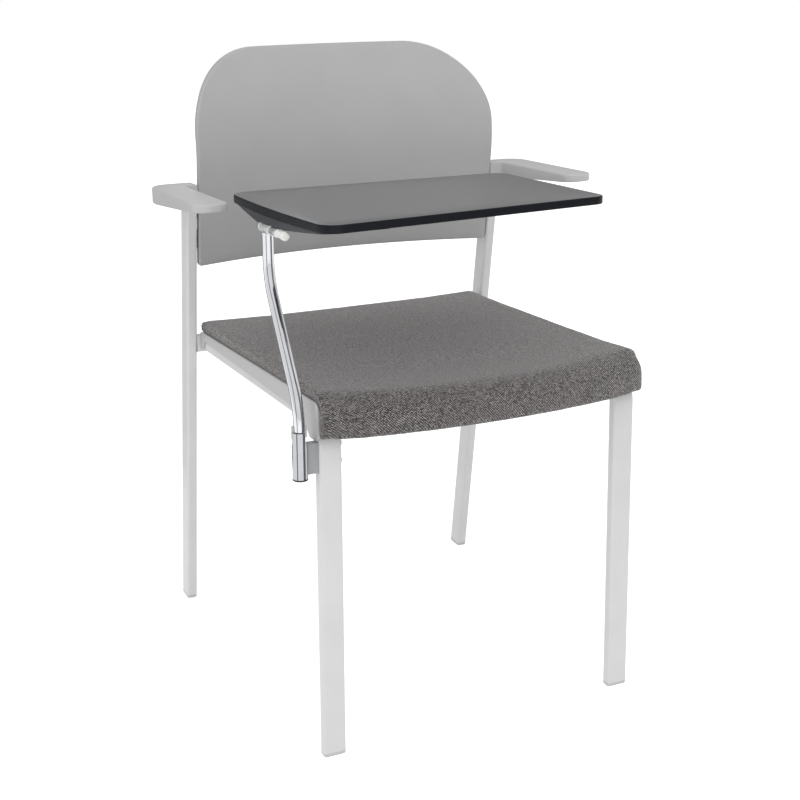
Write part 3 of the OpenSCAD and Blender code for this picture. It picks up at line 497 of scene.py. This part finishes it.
def makeBackPanel():
    low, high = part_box("back_panel")
    width = high.x - low.x
    height = high.z - low.z
    clearSelection()
    bpy.ops.mesh.primitive_plane_add(size=1, location=(0, 0, (low.z + high.z) / 2),
                                     rotation=(math.radians(90), 0, 0))
    piece = nameActive("back_panel_moulding")
    piece.scale = (width, height, 1)
    applyPlace(piece)
    for isTop, radius, steps in ((True, panel["cornerRadius"], 28), (False, panel["footRadius"], 5)):
        editPiece(piece)
        selectParts(piece, "verts", lambda v: (
            (v.co.z > high.z - 1e-4) == isTop and abs(v.co.x) > width / 2 - 1e-4))
        bpy.ops.mesh.bevel(offset=radius, offset_type="OFFSET", segments=steps, affect="VERTICES")
        leaveEdit()
    editPiece(piece)
    reach = width / 2 - panel["margin"]
    cutLines(piece, 0, spread(-reach, reach, panel["cuts"][0]))
    cutLines(piece, 2, spread(low.z + panel["margin"], high.z - panel["margin"], panel["cuts"][1]))
    bpy.ops.mesh.select_all(action="SELECT")
    bpy.ops.mesh.extrude_region_move(TRANSFORM_OT_translate={"value": (0, panel["thickness"], 0)})
    leaveEdit()
    axisY = panel["frontY"] - panel["planRadius"]

    def onSurface(co):
        inset = 0 if co.y < panel["thickness"] / 2 else panel["thickness"]
        co.y = axisY + math.sqrt(panelRadius(co.z, inset, low.z) ** 2 - co.x ** 2)
        return co

    moveVertices(piece, onSurface)
    fixNormals(piece)
    applyModifier(piece, "BEVEL", width=panel["edge"], segments=4, limit_method="ANGLE",
                  angle_limit=math.radians(45), use_clamp_overlap=False)
    bosses = []
    for side in (-1, 1):
        for z in panel["bossZ"]:
            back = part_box("back_brackets_left")[0].y
            x = side * panel["bossX"]
            front = axisY + math.sqrt(panelRadius(z, panel["thickness"] / 2, low.z) ** 2 - x ** 2)
            clearSelection()
            bpy.ops.mesh.primitive_cylinder_add(
                vertices=40, radius=panel["bossRadius"], depth=back - front,
                location=(x, (back + front) / 2, z), rotation=(math.radians(90), 0, 0))
            boss = nameActive("boss")
            applyPlace(boss)
            bosses.append(boss)
    combine(piece, bosses)
    smoothPiece(piece, 35)
    dress(piece, backPlastic, "frame", "back_plastic", "back_panel")
    print("back panel:", len(piece.data.polygons), "faces")


makeBackPanel()


# Arm pads: a strip with an elbow, its top and underside sloped, on a spigot in the upright

armPad = {
    "midY": 0.0212,          # middle of the chair, between the front and the rear feet
    "width": 0.045,
    "innerX": 0.2486,
    "elbowX": 0.2305,
    "front": -0.036,
    "rear": 0.188,
    "elbowFront": 0.157,
    "levelTo": 0.150,        # the underside is level from here back
    "seatZ": 0.646,
    "thickness": 0.0207,
    "rise": 0.0093,
    "tip": 0.0107,
    "frontInnerRadius": 0.016,
    "frontOuterRadius": 0.022,
    "rearRadius": 0.028,
    "elbowRadius": 0.008,
    "topEdge": 0.0026,
    "lowEdge": 0.0014,
    "neckZ": 0.6395,         # the neck stands on the upright here
    "spigotZ": 0.6055,
    "spigotInset": 0.00165,
    "overlap": 0.002,        # of the neck and the spigot with what they hang from
}


def makeStem(inset, low, high):
    width, depth = upright["size"]
    clearSelection()
    bpy.ops.mesh.primitive_cube_add(size=1, location=(0, 0, high))
    stem = nameActive("stem")
    stem.scale = (width - 2 * inset, depth - 2 * inset, 0.2)
    applyPlace(stem)
    editPiece(stem, "EDGE")
    selectParts(stem, "edges", lambda e: abs(e.verts[0].co.z - e.verts[1].co.z) > 0.1)
    bpy.ops.mesh.bevel(offset=upright["corner"] - inset, segments=6, affect="EDGES")
    leaveEdit()
    stem.data.transform(Matrix.Translation(upright["foot"]) @ Matrix.Rotation(upright["lean"], 4, "X"))
    editPiece(stem)
    for place, side in ((low, "clear_inner"), (high, "clear_outer")):
        bpy.ops.mesh.select_all(action="SELECT")
        bpy.ops.mesh.bisect(plane_co=(0, 0, place), plane_no=(0, 0, 1), use_fill=True, **{side: True})
    leaveEdit()
    return stem


def makeArmPad():
    a = armPad
    outer = a["innerX"] + a["width"]
    clearSelection()
    middle = ((a["innerX"] + outer) / 2, (a["front"] + a["rear"]) / 2, 0)
    bpy.ops.mesh.primitive_plane_add(size=1, location=middle)
    piece = nameActive("arm_pad_moulding_left")
    piece.scale = (a["width"], a["rear"] - a["front"], 1)
    applyPlace(piece)
    editPiece(piece, "EDGE")
    cutLines(piece, 1, [a["elbowFront"]])
    selectParts(piece, "edges", lambda e: all(
        abs(v.co.x - a["innerX"]) < 1e-5 and v.co.y > a["elbowFront"] - 1e-5 for v in e.verts))
    bpy.ops.mesh.extrude_region_move(TRANSFORM_OT_translate={"value": (a["elbowX"] - a["innerX"], 0, 0)})
    bpy.ops.mesh.select_all(action="SELECT")
    bpy.ops.mesh.dissolve_limited(angle_limit=math.radians(1))
    corners = [
        (a["innerX"], a["front"], a["frontInnerRadius"], 10),
        (outer, a["front"], a["frontOuterRadius"], 12),
        (outer, a["rear"], a["rearRadius"], 14),
        (a["innerX"], a["elbowFront"], a["elbowRadius"], 8),
    ]
    bpy.ops.mesh.select_mode(type="VERT")
    for x, y, radius, steps in corners:
        selectParts(piece, "verts", lambda v: abs(v.co.x - x) < 1e-4 and abs(v.co.y - y) < 1e-4)
        bpy.ops.mesh.bevel(offset=radius, offset_type="OFFSET", segments=steps, affect="VERTICES")
    cutLines(piece, 1, [a["levelTo"]])
    bpy.ops.mesh.select_all(action="SELECT")
    bpy.ops.mesh.extrude_region_move(TRANSFORM_OT_translate={"value": (0, 0, a["thickness"])})
    leaveEdit()
    length = a["rear"] - a["front"]
    top = a["seatZ"] + a["thickness"]

    def sloped(co):
        if co.z > a["thickness"] / 2:
            co.z = top + a["rise"] * (a["rear"] - co.y) / length
        else:
            lift = a["thickness"] + a["rise"] - a["tip"]
            co.z = a["seatZ"] + lift * max(0, a["levelTo"] - co.y) / (a["levelTo"] - a["front"])
        co.y += a["midY"]
        return co

    moveVertices(piece, sloped)
    fixNormals(piece)
    for isTop, width, steps in ((True, a["topEdge"], 5), (False, a["lowEdge"], 3)):
        editPiece(piece, "EDGE")
        selectParts(piece, "edges", lambda e: e.calc_face_angle(0) > 1 and all(
            (v.normal.z > 0.1) == isTop for v in e.verts) and abs(
            e.verts[0].co.z - e.verts[1].co.z) < 0.6 * (e.verts[0].co - e.verts[1].co).length)
        bpy.ops.mesh.bevel(offset=width, segments=steps, affect="EDGES", clamp_overlap=False)
        leaveEdit()
    combine(piece, [makeStem(0, a["neckZ"], a["seatZ"] + a["overlap"]),
                    makeStem(a["spigotInset"], a["spigotZ"], a["neckZ"] + a["overlap"])])
    smoothPiece(piece, 30)
    mirrored = addPiece("arm_pad_moulding_right", piece.data.copy())
    mirrored.data.transform(Matrix.Scale(-1, 4, Vector((1, 0, 0))))
    fixNormals(mirrored)
    smoothPiece(mirrored, 30)
    dress(piece, armPlastic, "frame", "arm_plastic", "arm_pad_left")
    dress(mirrored, armPlastic, "frame", "arm_plastic", "arm_pad_right")
    print("arm pads:", len(piece.data.polygons), "faces each")


makeArmPad()


# Tablet board: four corners, one bulged end, laminate on both faces and a black edge

board = {
    "corners": [(-0.0033, 0.129), (0.3837, 0.1202), (0.3976, -0.1218), (0.0106, -0.156)],
    "radii": [0.022, 0.022, 0.016, 0.022],
    "bulge": 0.0055,
    "bulgeReach": 0.090,     # the bulge fades out this far from the hinged end
    "lift": 0.0154,
    "thickness": 0.010,
    "tilt": math.radians(-1.5),
    "edge": 0.0013,
}


def toTablet(co):
    return hinge + Matrix.Rotation(board["tilt"], 3, "X") @ co


def makeTabletBoard():
    clearSelection()
    bpy.ops.mesh.primitive_plane_add(size=1, location=(0, 0, 0))
    piece = nameActive("tablet_board_laminated")
    starts = [(-0.5, 0.5), (0.5, 0.5), (0.5, -0.5), (-0.5, -0.5)]
    for vertex in piece.data.vertices:
        index = min(range(4), key=lambda i: (Vector(starts[i]) - vertex.co.xy).length)
        vertex.co = (*board["corners"][index], board["lift"])
    editPiece(piece)
    for index, (x, y) in enumerate(board["corners"]):
        before = Vector(board["corners"][index - 1]) - Vector((x, y))
        after = Vector(board["corners"][(index + 1) % 4]) - Vector((x, y))
        reach = board["radii"][index] / math.tan(before.angle(after) / 2)
        selectParts(piece, "verts", lambda v: abs(v.co.x - x) < 1e-5 and abs(v.co.y - y) < 1e-5)
        bpy.ops.mesh.bevel(offset=reach, offset_type="OFFSET", segments=14, affect="VERTICES")
    cutLines(piece, 1, spread(-0.134, 0.107, 15))
    cutLines(piece, 0, spread(0.02, board["bulgeReach"] + 0.02, 5))
    bpy.ops.mesh.select_all(action="SELECT")
    bpy.ops.mesh.extrude_region_move(TRANSFORM_OT_translate={"value": (0, 0, board["thickness"])})
    leaveEdit()
    middle = (board["corners"][0][1] + board["corners"][3][1]) / 2
    half = (board["corners"][0][1] - board["corners"][3][1]) / 2

    def shaped(co):
        along = (co.y - middle) / half
        fade = clamp(1 - (co.x - 0.01) / board["bulgeReach"])
        co.x -= board["bulge"] * (1 - along ** 2) * fade
        return toTablet(co)

    moveVertices(piece, shaped)
    fixNormals(piece)
    applyModifier(piece, "BEVEL", width=board["edge"], segments=3, limit_method="ANGLE",
                  angle_limit=math.radians(60), use_clamp_overlap=False)
    piece.data.materials.append(tabletTop)
    piece.data.materials.append(edgePlastic)
    up = Matrix.Rotation(board["tilt"], 3, "X") @ Vector((0, 0, 1))
    for face in piece.data.polygons:
        face.material_index = 0 if abs(face.normal.dot(up)) > 0.97 else 1
    smoothPiece(piece, 40)
    dress(piece, None, "tablet", "tablet_laminate", "tablet_board")
    print("tablet board:", len(piece.data.polygons), "faces")


makeTabletBoard()


# Parts whose edges are eased: a merged copy of the frame's own part with a fine bevel

easedParts = {
    "seat_shell": ("seat_shell_moulding", 0.0006, shellPlastic, "frame", "shell_plastic"),
    "hinge_cover": ("hinge_cover_moulding", 0.0009, coverPlastic, "tablet", "cover_plastic"),
    "socket_bracket": ("socket_bracket_plate", 0.0008, bracketPaint, "frame", "bracket_paint"),
    "hinge_head": ("hinge_head_casting", 0.0007, castZinc, "support_arm", "zinc"),
    "hinge_leaf": ("hinge_leaf_plate", 0.0004, zincPlate, "tablet", "zinc"),
    "back_brackets_left": ("back_brackets_plates_left", 0.0006, framePaint, "frame", "frame_paint"),
    "back_brackets_right": ("back_brackets_plates_right", 0.0006, framePaint, "frame", "frame_paint"),
}
shellLip = {"round": 0.0019, "steps": 5, "width": 0.004}


def roundLip(piece):
    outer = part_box("seat_shell")[1].x
    near = 0.0003

    def isLipEdge(edge):
        if len(edge.link_faces) != 2:
            return False
        at = [abs(v.co.x) for v in edge.verts]
        faces = sorted(edge.link_faces, key=lambda f: -abs(f.normal.x))
        if abs(faces[0].normal.x) < 0.99 or abs(faces[1].normal.x) > 0.9:
            return False
        if all(abs(x - outer) < near for x in at):
            return faces[1].normal.z > 0.02 or faces[1].normal.y < -0.9
        return all(abs(x - outer + shellLip["width"]) < near for x in at) and faces[1].normal.z > 0.2

    editPiece(piece, "EDGE")
    selectParts(piece, "edges", isLipEdge)
    bpy.ops.mesh.bevel(offset=shellLip["round"], segments=shellLip["steps"], affect="EDGES",
                       clamp_overlap=False)
    leaveEdit()


def makeEasedPart(node):
    name, width, finish, body, slotName = easedParts[node]
    piece = mergedCopy(node, name)
    editPiece(piece)
    bpy.ops.mesh.select_all(action="SELECT")
    bpy.ops.mesh.dissolve_limited(angle_limit=math.radians(0.5))
    leaveEdit()
    if node == "seat_shell":
        roundLip(piece)
    applyModifier(piece, "BEVEL", width=width, segments=2, limit_method="ANGLE",
                  angle_limit=math.radians(35), use_clamp_overlap=True)
    smoothPiece(piece, 32)
    dress(piece, finish, body, slotName, node)
    print(name + ":", len(piece.data.polygons), "faces")


for nodeName in easedParts:
    makeEasedPart(nodeName)


# Screws: one of each size with a rounded head and a hexagon recess, copied to every place

screws = {
    "headRound": 0.45,       # share of the head's height
    "recessSize": 0.5,       # share of the head's diameter
    "recessDepth": 0.55,     # share of the head's height
    "lowHead": 0.4,          # the bracket's screws have flat heads, this share of the others
    "legSplay": math.radians(0.57),
}
splay = screws["legSplay"]
tiltDown = Vector((0, math.sin(board["tilt"]), -math.cos(board["tilt"])))
screwNodes = {               # the way each node's heads face, and its body
    "back_screws": (Vector((0, 1, 0)), "frame"),
    "arm_screws": (Vector((0, math.cos(upright["lean"]), math.sin(upright["lean"]))), "frame"),
    "seat_screws": (Vector((0, math.sin(seat["tilt"]), -math.cos(seat["tilt"]))), "frame"),
    "bracket_screws": (Vector((math.cos(splay), 0, -math.sin(splay))), "frame"),
    "leaf_screws": (tiltDown, "tablet"),
    "cover_screws": (tiltDown, "tablet"),
}


def looseParts(node):
    mesh = bmesh.new()
    mesh.from_mesh(cadNodes[node].data)
    bmesh.ops.remove_doubles(mesh, verts=mesh.verts, dist=0.00002)
    parts = []
    for start in mesh.verts:
        if start.tag:
            continue
        start.tag = True
        found = [start]
        for vertex in found:
            for edge in vertex.link_edges:
                other = edge.other_vert(vertex)
                if not other.tag:
                    other.tag = True
                    found.append(other)
        parts.append([vertex.co.copy() for vertex in found])
    mesh.free()
    return parts


def modelScrew(headRadius, headHeight, shankRadius, shankLength):
    clearSelection()
    bpy.ops.mesh.primitive_cylinder_add(vertices=36, radius=headRadius, depth=headHeight,
                                        location=(0, 0, headHeight / 2))
    screw = nameActive("screw")
    applyPlace(screw)
    editPiece(screw, "EDGE")
    selectParts(screw, "edges", lambda e: all(v.co.z > headHeight * 0.9 for v in e.verts))
    bpy.ops.mesh.bevel(offset=headHeight * screws["headRound"], segments=4, affect="EDGES")
    leaveEdit()
    deep = headHeight * screws["recessDepth"]
    bpy.ops.mesh.primitive_cylinder_add(vertices=6, radius=headRadius * screws["recessSize"],
                                        depth=2 * deep, location=(0, 0, headHeight))
    recess = nameActive("recess")
    applyPlace(recess)
    overlap = headHeight * 0.1
    bpy.ops.mesh.primitive_cylinder_add(vertices=24, radius=shankRadius, depth=shankLength + overlap,
                                        location=(0, 0, (overlap - shankLength) / 2))
    shank = nameActive("shank")
    applyPlace(shank)
    combine(screw, [recess], "DIFFERENCE")
    combine(screw, [shank])
    return screw


def makeScrews(node):
    facing, body = screwNodes[node]
    parts = looseParts(node)
    pattern = None
    for part in parts:
        along = [co.dot(facing) for co in part]
        middle = sum(part, Vector()) / len(part)
        away = [(co - middle - facing * (co - middle).dot(facing)).length for co in part]
        headRadius = max(away)
        seat_ = min(reach for reach, off in zip(along, away) if off > 0.9 * headRadius)
        if pattern is None:
            headHeight = (max(along) - seat_) * (screws["lowHead"] if node == "bracket_screws" else 1)
            pattern = modelScrew(headRadius, headHeight, min(away), seat_ - min(along))
            turn = facing.to_track_quat("Z", "Y").to_matrix().to_4x4()
            copies = []
        copy = addPiece(node + "_copy", pattern.data.copy())
        copy.data.transform(Matrix.Translation(middle + facing * (seat_ - middle.dot(facing))) @ turn)
        copies.append(copy)
    bpy.data.objects.remove(pattern)
    activate(copies[0])
    for copy in copies:
        copy.select_set(True)
    bpy.ops.object.join()
    piece = nameActive(node + "_zinc")
    smoothPiece(piece, 35)
    dress(piece, zincPlate, body, "zinc", node)
    print(node + ":", len(parts), "screws")


for nodeName in screwNodes:
    makeScrews(nodeName)


# Seat cushion: the frame's own solid, remeshed and blown up by a short cloth simulation

cushion = {
    "voxel": 0.004,
    "pressure": 4.0,
    "frames": 20,
    "cap": 0.0030,           # how far a point of the top or the front roll may move
    "sideCap": 0.0012,       # and a point of the sides, above the lip
    "sideMargin": 0.002,
    "sideFade": 0.006,
    "boardW": 0.0150,        # height of the cushion's underside in the seat's frame
    "lipW": (0.0206, 0.0136),
    "lipV": (-0.157, 0.185),
    "frontV": -0.262,        # ahead of this the roll hangs free of the shell's lip
    "fade": 0.004,
    "rollBulge": 0.0048,     # the roll's ends swell in front of the shell's lip
    "rollDepth": 0.006,
    "swellV": -0.215,        # over the lip they start to swell here
    "swellDepth": 0.04,
    "swellShare": 0.35,
    "wrap": 0.4,             # the weave turns down over the sides as their normal turns this much,
    "wrapFrom": 0.5,         # from here
    "crestW": 0.0255,
    "wallTop": (0.0215, 0.0255),   # the sides stand straight up to here
    "wallGap": 0.0002,
    "sideFacing": 0.35,      # a side's normal is turned out by more than this
    "bottomW": 0.0145,       # the frame's cushion stands on the board here, and its side ends here
    "sideTopW": 0.0232,
    "lift": (0.0035, 0.0008),          # how much fuller than its solid it stands, front and rear
    "sideLift": (0.0065, 0.0025),      # and this much more along its sides
    "rollDrop": 0.0044,      # the roll hangs lower than the solid's, by this much at full depth
    "hangW": 0.018,
    "plainRounds": (0.0055, 0.009),    # the solid's rounding over its sides, and round its rear corners
    "sewnRounds": (0.0022, 0.003),     # and the sewn cover's
    "rearV": (0.160, 0.180),
    "tuck": 0.0038,          # the cover reaches this far down beside the board
    "tuckTop": 0.0190,
    "tuckIn": 0.0036,        # from the cushion's side to the board's
    "tuckSoft": 0.0016,
    "border": 0.012,         # how wide a strip counts as the cushion's side
    "swellReach": 0.010,
}


def between(ends, share):
    return ends[0] + (ends[1] - ends[0]) * share


def cushionFreedom(co, halfWidth):
    place = toSeat(co)
    share = clamp((place.y - cushion["lipV"][0]) / (cushion["lipV"][1] - cushion["lipV"][0]))
    lip = between(cushion["lipW"], share)
    held = cushion["boardW"]
    if place.y > cushion["frontV"] and abs(place.x) > halfWidth - cushion["border"]:
        held = lip
    ahead = clamp((cushion["frontV"] - place.y) / cushion["fade"] + 1)
    free = max(ahead, clamp((place.z - held) / cushion["fade"]))
    side = clamp((halfWidth - cushion["sideMargin"] - abs(place.x)) / cushion["sideFade"])
    return free * between((cushion["sideCap"], cushion["cap"]), side)


def roundedIn(x, halfWidth, radius):
    past = max(0.0, abs(x) - halfWidth + radius)
    return radius - math.sqrt(max(0.0, radius ** 2 - past ** 2))


def fillCover(piece, halfWidth):
    topRound, rearRound = cushion["plainRounds"]
    topSewn, rearSewn = cushion["sewnRounds"]

    def filled(co):
        place = toSeat(co)
        x = place.x
        along = clamp((place.y - cushion["frontV"]) / (cushion["rearV"][1] - cushion["frontV"]))
        drop = roundedIn(x, halfWidth, topRound)
        above = place.z - cushion["bottomW"]
        height = clamp(above / (cushion["sideTopW"] - drop - cushion["bottomW"]))
        lift = between(cushion["lift"], along)
        lift += between(cushion["sideLift"], along) * (x / halfWidth) ** 4
        ahead = clamp((cushion["frontV"] - place.y) / cushion["rollDepth"])
        hang = clamp(-place.z / cushion["hangW"]) * (1 - (x / halfWidth) ** 8)
        place.z += height * (lift + drop - roundedIn(x, halfWidth, topSewn))
        place.z -= cushion["rollDrop"] * ahead * hang
        rear = clamp((place.y - cushion["rearV"][0]) / (cushion["rearV"][1] - cushion["rearV"][0]))
        place.y += rear * (roundedIn(x, halfWidth, rearRound) - roundedIn(x, halfWidth, rearSewn))
        return fromSeat(place)

    moveVertices(piece, filled)


def mapWeave(piece):
    weave = piece.data.uv_layers.new(name="weave")
    places = []
    for vertex in piece.data.vertices:
        place = toSeat(vertex.co)
        side = clamp((abs(vertex.normal.x) - cushion["wrapFrom"]) / cushion["wrap"])
        drop = place.z - cushion["crestW"]
        places.append((place.x - math.copysign(drop * side, place.x), place.y + drop * (1 - side)))
    for corner in piece.data.loops:
        weave.data[corner.index].uv = places[corner.vertex_index]


def makeCushion():
    low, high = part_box("seat_cushion")
    solid = mergedCopy("seat_cushion", "cushion_form")
    fillCover(solid, high.x)
    piece = addPiece("seat_cushion_upholstery", solid.data.copy())
    applyModifier(piece, "REMESH", mode="VOXEL", voxel_size=cushion["voxel"], use_smooth_shade=True)
    applyModifier(piece, "SHRINKWRAP", target=solid, wrap_method="NEAREST_SURFACEPOINT")
    start = [v.co.copy() for v in piece.data.vertices]
    activate(piece)
    cloth = piece.modifiers.new("Cloth", "CLOTH")
    cloth.settings.use_pressure = True
    cloth.settings.uniform_pressure_force = cushion["pressure"]
    cloth.settings.effector_weights.gravity = 0
    cloth.point_cache.frame_end = cushion["frames"]
    for step in range(1, cushion["frames"] + 1):
        bpy.context.scene.frame_set(step)
    bpy.ops.object.modifier_apply(modifier=cloth.name)
    bpy.context.scene.frame_set(1)
    for vertex, was in zip(piece.data.vertices, start):
        move = vertex.co - was
        most = cushionFreedom(was, high.x)
        vertex.co = was + move * min(1, most / max(move.length, 1e-9))
    applyModifier(piece, "SUBSURF", levels=1, render_levels=1)
    seated = piece.vertex_groups.new(name="seated")
    for vertex in piece.data.vertices:
        seated.add([vertex.index], 1 - cushionFreedom(vertex.co, high.x) / cushion["cap"], "REPLACE")
    applyModifier(piece, "SHRINKWRAP", target=solid, wrap_method="NEAREST_SURFACEPOINT",
                  vertex_group="seated")
    piece.vertex_groups.clear()
    bpy.data.objects.remove(solid)

    def swelled(co):
        place = toSeat(co)
        ahead = clamp((cushion["frontV"] - place.y) / cushion["rollDepth"])
        over = clamp((place.z - cushion["wallTop"][0]) / cushion["fade"])
        over *= clamp((cushion["swellV"] - place.y) / cushion["swellDepth"])
        end = clamp((abs(co.x) - high.x + cushion["border"]) / cushion["swellReach"])
        swell = cushion["rollBulge"] * max(ahead, cushion["swellShare"] * over)
        co.x += math.copysign(swell * end, co.x)
        return co

    moveVertices(piece, swelled)
    lowWall, highWall = cushion["wallTop"]
    wall = high.x - cushion["wallGap"]
    for vertex in piece.data.vertices:
        place = toSeat(vertex.co)
        facing = clamp((abs(vertex.normal.x) - cushion["sideFacing"]) / cushion["sideFacing"])
        straight = clamp((highWall - place.z) / (highWall - lowWall))
        if place.y > cushion["frontV"] and abs(place.x) > high.x - cushion["border"]:
            vertex.co.x += math.copysign(facing * straight * (wall - abs(place.x)), place.x)
            beside = clamp((abs(vertex.co.x) - high.x + cushion["tuckIn"]) / cushion["tuckSoft"])
            tucked = clamp((cushion["tuckTop"] - place.z) / cushion["fade"])
            vertex.co.z -= cushion["tuck"] * beside * tucked
    piece.data.update()
    mapWeave(piece)
    activate(piece)
    bpy.ops.object.shade_smooth()
    dress(piece, seatCloth, "frame", "seat_fabric", "seat_cushion")
    print("cushion:", len(piece.data.polygons), "faces")


makeCushion()


# Floor, light and camera

studio = {
    "floorSize": 14,
    "worldLevel": 0.88,
    "keyPlace": (-0.4, -1.9, 3.2),
    "keySize": 3.0,
    "keyPower": 26,
    "sidePlace": (-2.4, -0.7, 1.1),
    "sideSize": 2.0,
    "sidePower": 4.5,
    "flags": [               # degrees round from the camera, seen from the support tube; width; tone
        (-35, 0.26, 0.36), (64, 0.64, 0.28), (158, 0.70, 0.40), (-146, 0.84, 0.32)],
    "flagHeight": 3.0,
    "flagReach": 0.95,
    "cameraPlace": (-0.8327, -1.7568, 1.0150),
    "cameraTurn": (71.774, 0.0, -25.233),
    "lens": 65.52,
}


def cameraRays(tree):
    rays = tree.nodes.new("ShaderNodeLightPath")
    total = addMath(tree, "ADD", rays.outputs["Is Camera Ray"], rays.outputs["Is Glossy Ray"])
    total = addMath(tree, "ADD", total, rays.outputs["Is Transmission Ray"])
    return addMath(tree, "MINIMUM", total, 1.0)


def makeStudio():
    world = bpy.data.worlds.new("studioWhite")
    bpy.context.scene.world = world
    world.use_nodes = True
    tree = world.node_tree
    fill = tree.nodes["Background"]
    fill.inputs["Color"].default_value = (1, 1, 1, 1)
    fill.inputs["Strength"].default_value = studio["worldLevel"]
    seen = tree.nodes.new("ShaderNodeBackground")
    seen.inputs["Color"].default_value = (1, 1, 1, 1)
    seen.inputs["Strength"].default_value = 1.0
    mix = tree.nodes.new("ShaderNodeMixShader")
    tree.links.new(cameraRays(tree), mix.inputs["Fac"])
    tree.links.new(fill.outputs[0], mix.inputs[1])
    tree.links.new(seen.outputs[0], mix.inputs[2])
    tree.links.new(mix.outputs[0], tree.nodes["World Output"].inputs["Surface"])

    clearSelection()
    bpy.ops.mesh.primitive_plane_add(size=studio["floorSize"], location=(0, 0, 0))
    floor = nameActive("studio_floor")
    pale, tree, shader, coords = newFinish("paleFloor", 0.9)
    tone = addRamp(tree, addNoise(tree, coords, 0.5), [(0.3, grey(0.86)), (0.7, grey(0.88))])
    tree.links.new(tone, shader.inputs["Base Color"])
    shader.inputs["Specular IOR Level"].default_value = 0
    glow = tree.nodes.new("ShaderNodeEmission")
    tree.links.new(addMath(tree, "MULTIPLY", cameraRays(tree), 0.5), glow.inputs["Strength"])
    both = tree.nodes.new("ShaderNodeAddShader")
    tree.links.new(shader.outputs[0], both.inputs[0])
    tree.links.new(glow.outputs[0], both.inputs[1])
    tree.links.new(both.outputs[0], tree.nodes["Material Output"].inputs["Surface"])
    floor.data.materials.append(pale)

    # Darker flags that show in reflections alone, and give the chrome its lines
    toCamera = Vector(studio["cameraPlace"]) - hinge
    toCamera.z = 0
    for turn, width, tone in studio["flags"]:
        felt, tree, shader, coords = newFinish("flagFelt", 1.0)
        shader.inputs["Base Color"].default_value = grey(tone)
        shader.inputs["Specular IOR Level"].default_value = 0
        away = Matrix.Rotation(math.radians(turn), 3, "Z") @ toCamera.normalized()
        clearSelection()
        bpy.ops.mesh.primitive_plane_add(size=1, location=(0, 0, 0))
        flag = nameActive("studio_flag_%d" % turn)
        flag.scale = (width, studio["flagHeight"], 1)
        flag.rotation_euler = (math.radians(90), 0, math.atan2(away.y, away.x) + math.radians(90))
        flag.location = hinge + away * studio["flagReach"]
        flag.location.z = studio["flagHeight"] / 2 + 0.002
        flag.data.materials.append(felt)
        for ray in ("camera", "diffuse", "shadow", "transmission"):
            setattr(flag, "visible_" + ray, False)

    for name in ("key", "side"):
        clearSelection()
        bpy.ops.object.light_add(type="AREA", location=studio[name + "Place"])
        lamp = bpy.context.active_object
        lamp.name = name + "_softbox"
        lamp.data.shape = "DISK"
        lamp.data.size = studio[name + "Size"]
        lamp.data.energy = studio[name + "Power"]
        lamp.visible_glossy = False
        aim = Vector((0, 0, 0.5)) - lamp.location
        lamp.rotation_euler = aim.to_track_quat("-Z", "Y").to_euler()

    clearSelection()
    bpy.ops.object.camera_add(location=studio["cameraPlace"],
                              rotation=[math.radians(a) for a in studio["cameraTurn"]])
    camera = bpy.context.active_object
    camera.data.sensor_width = 36
    camera.data.lens = studio["lens"]
    bpy.context.scene.camera = camera
    bpy.context.scene.view_settings.view_transform = "Standard"


makeStudio()
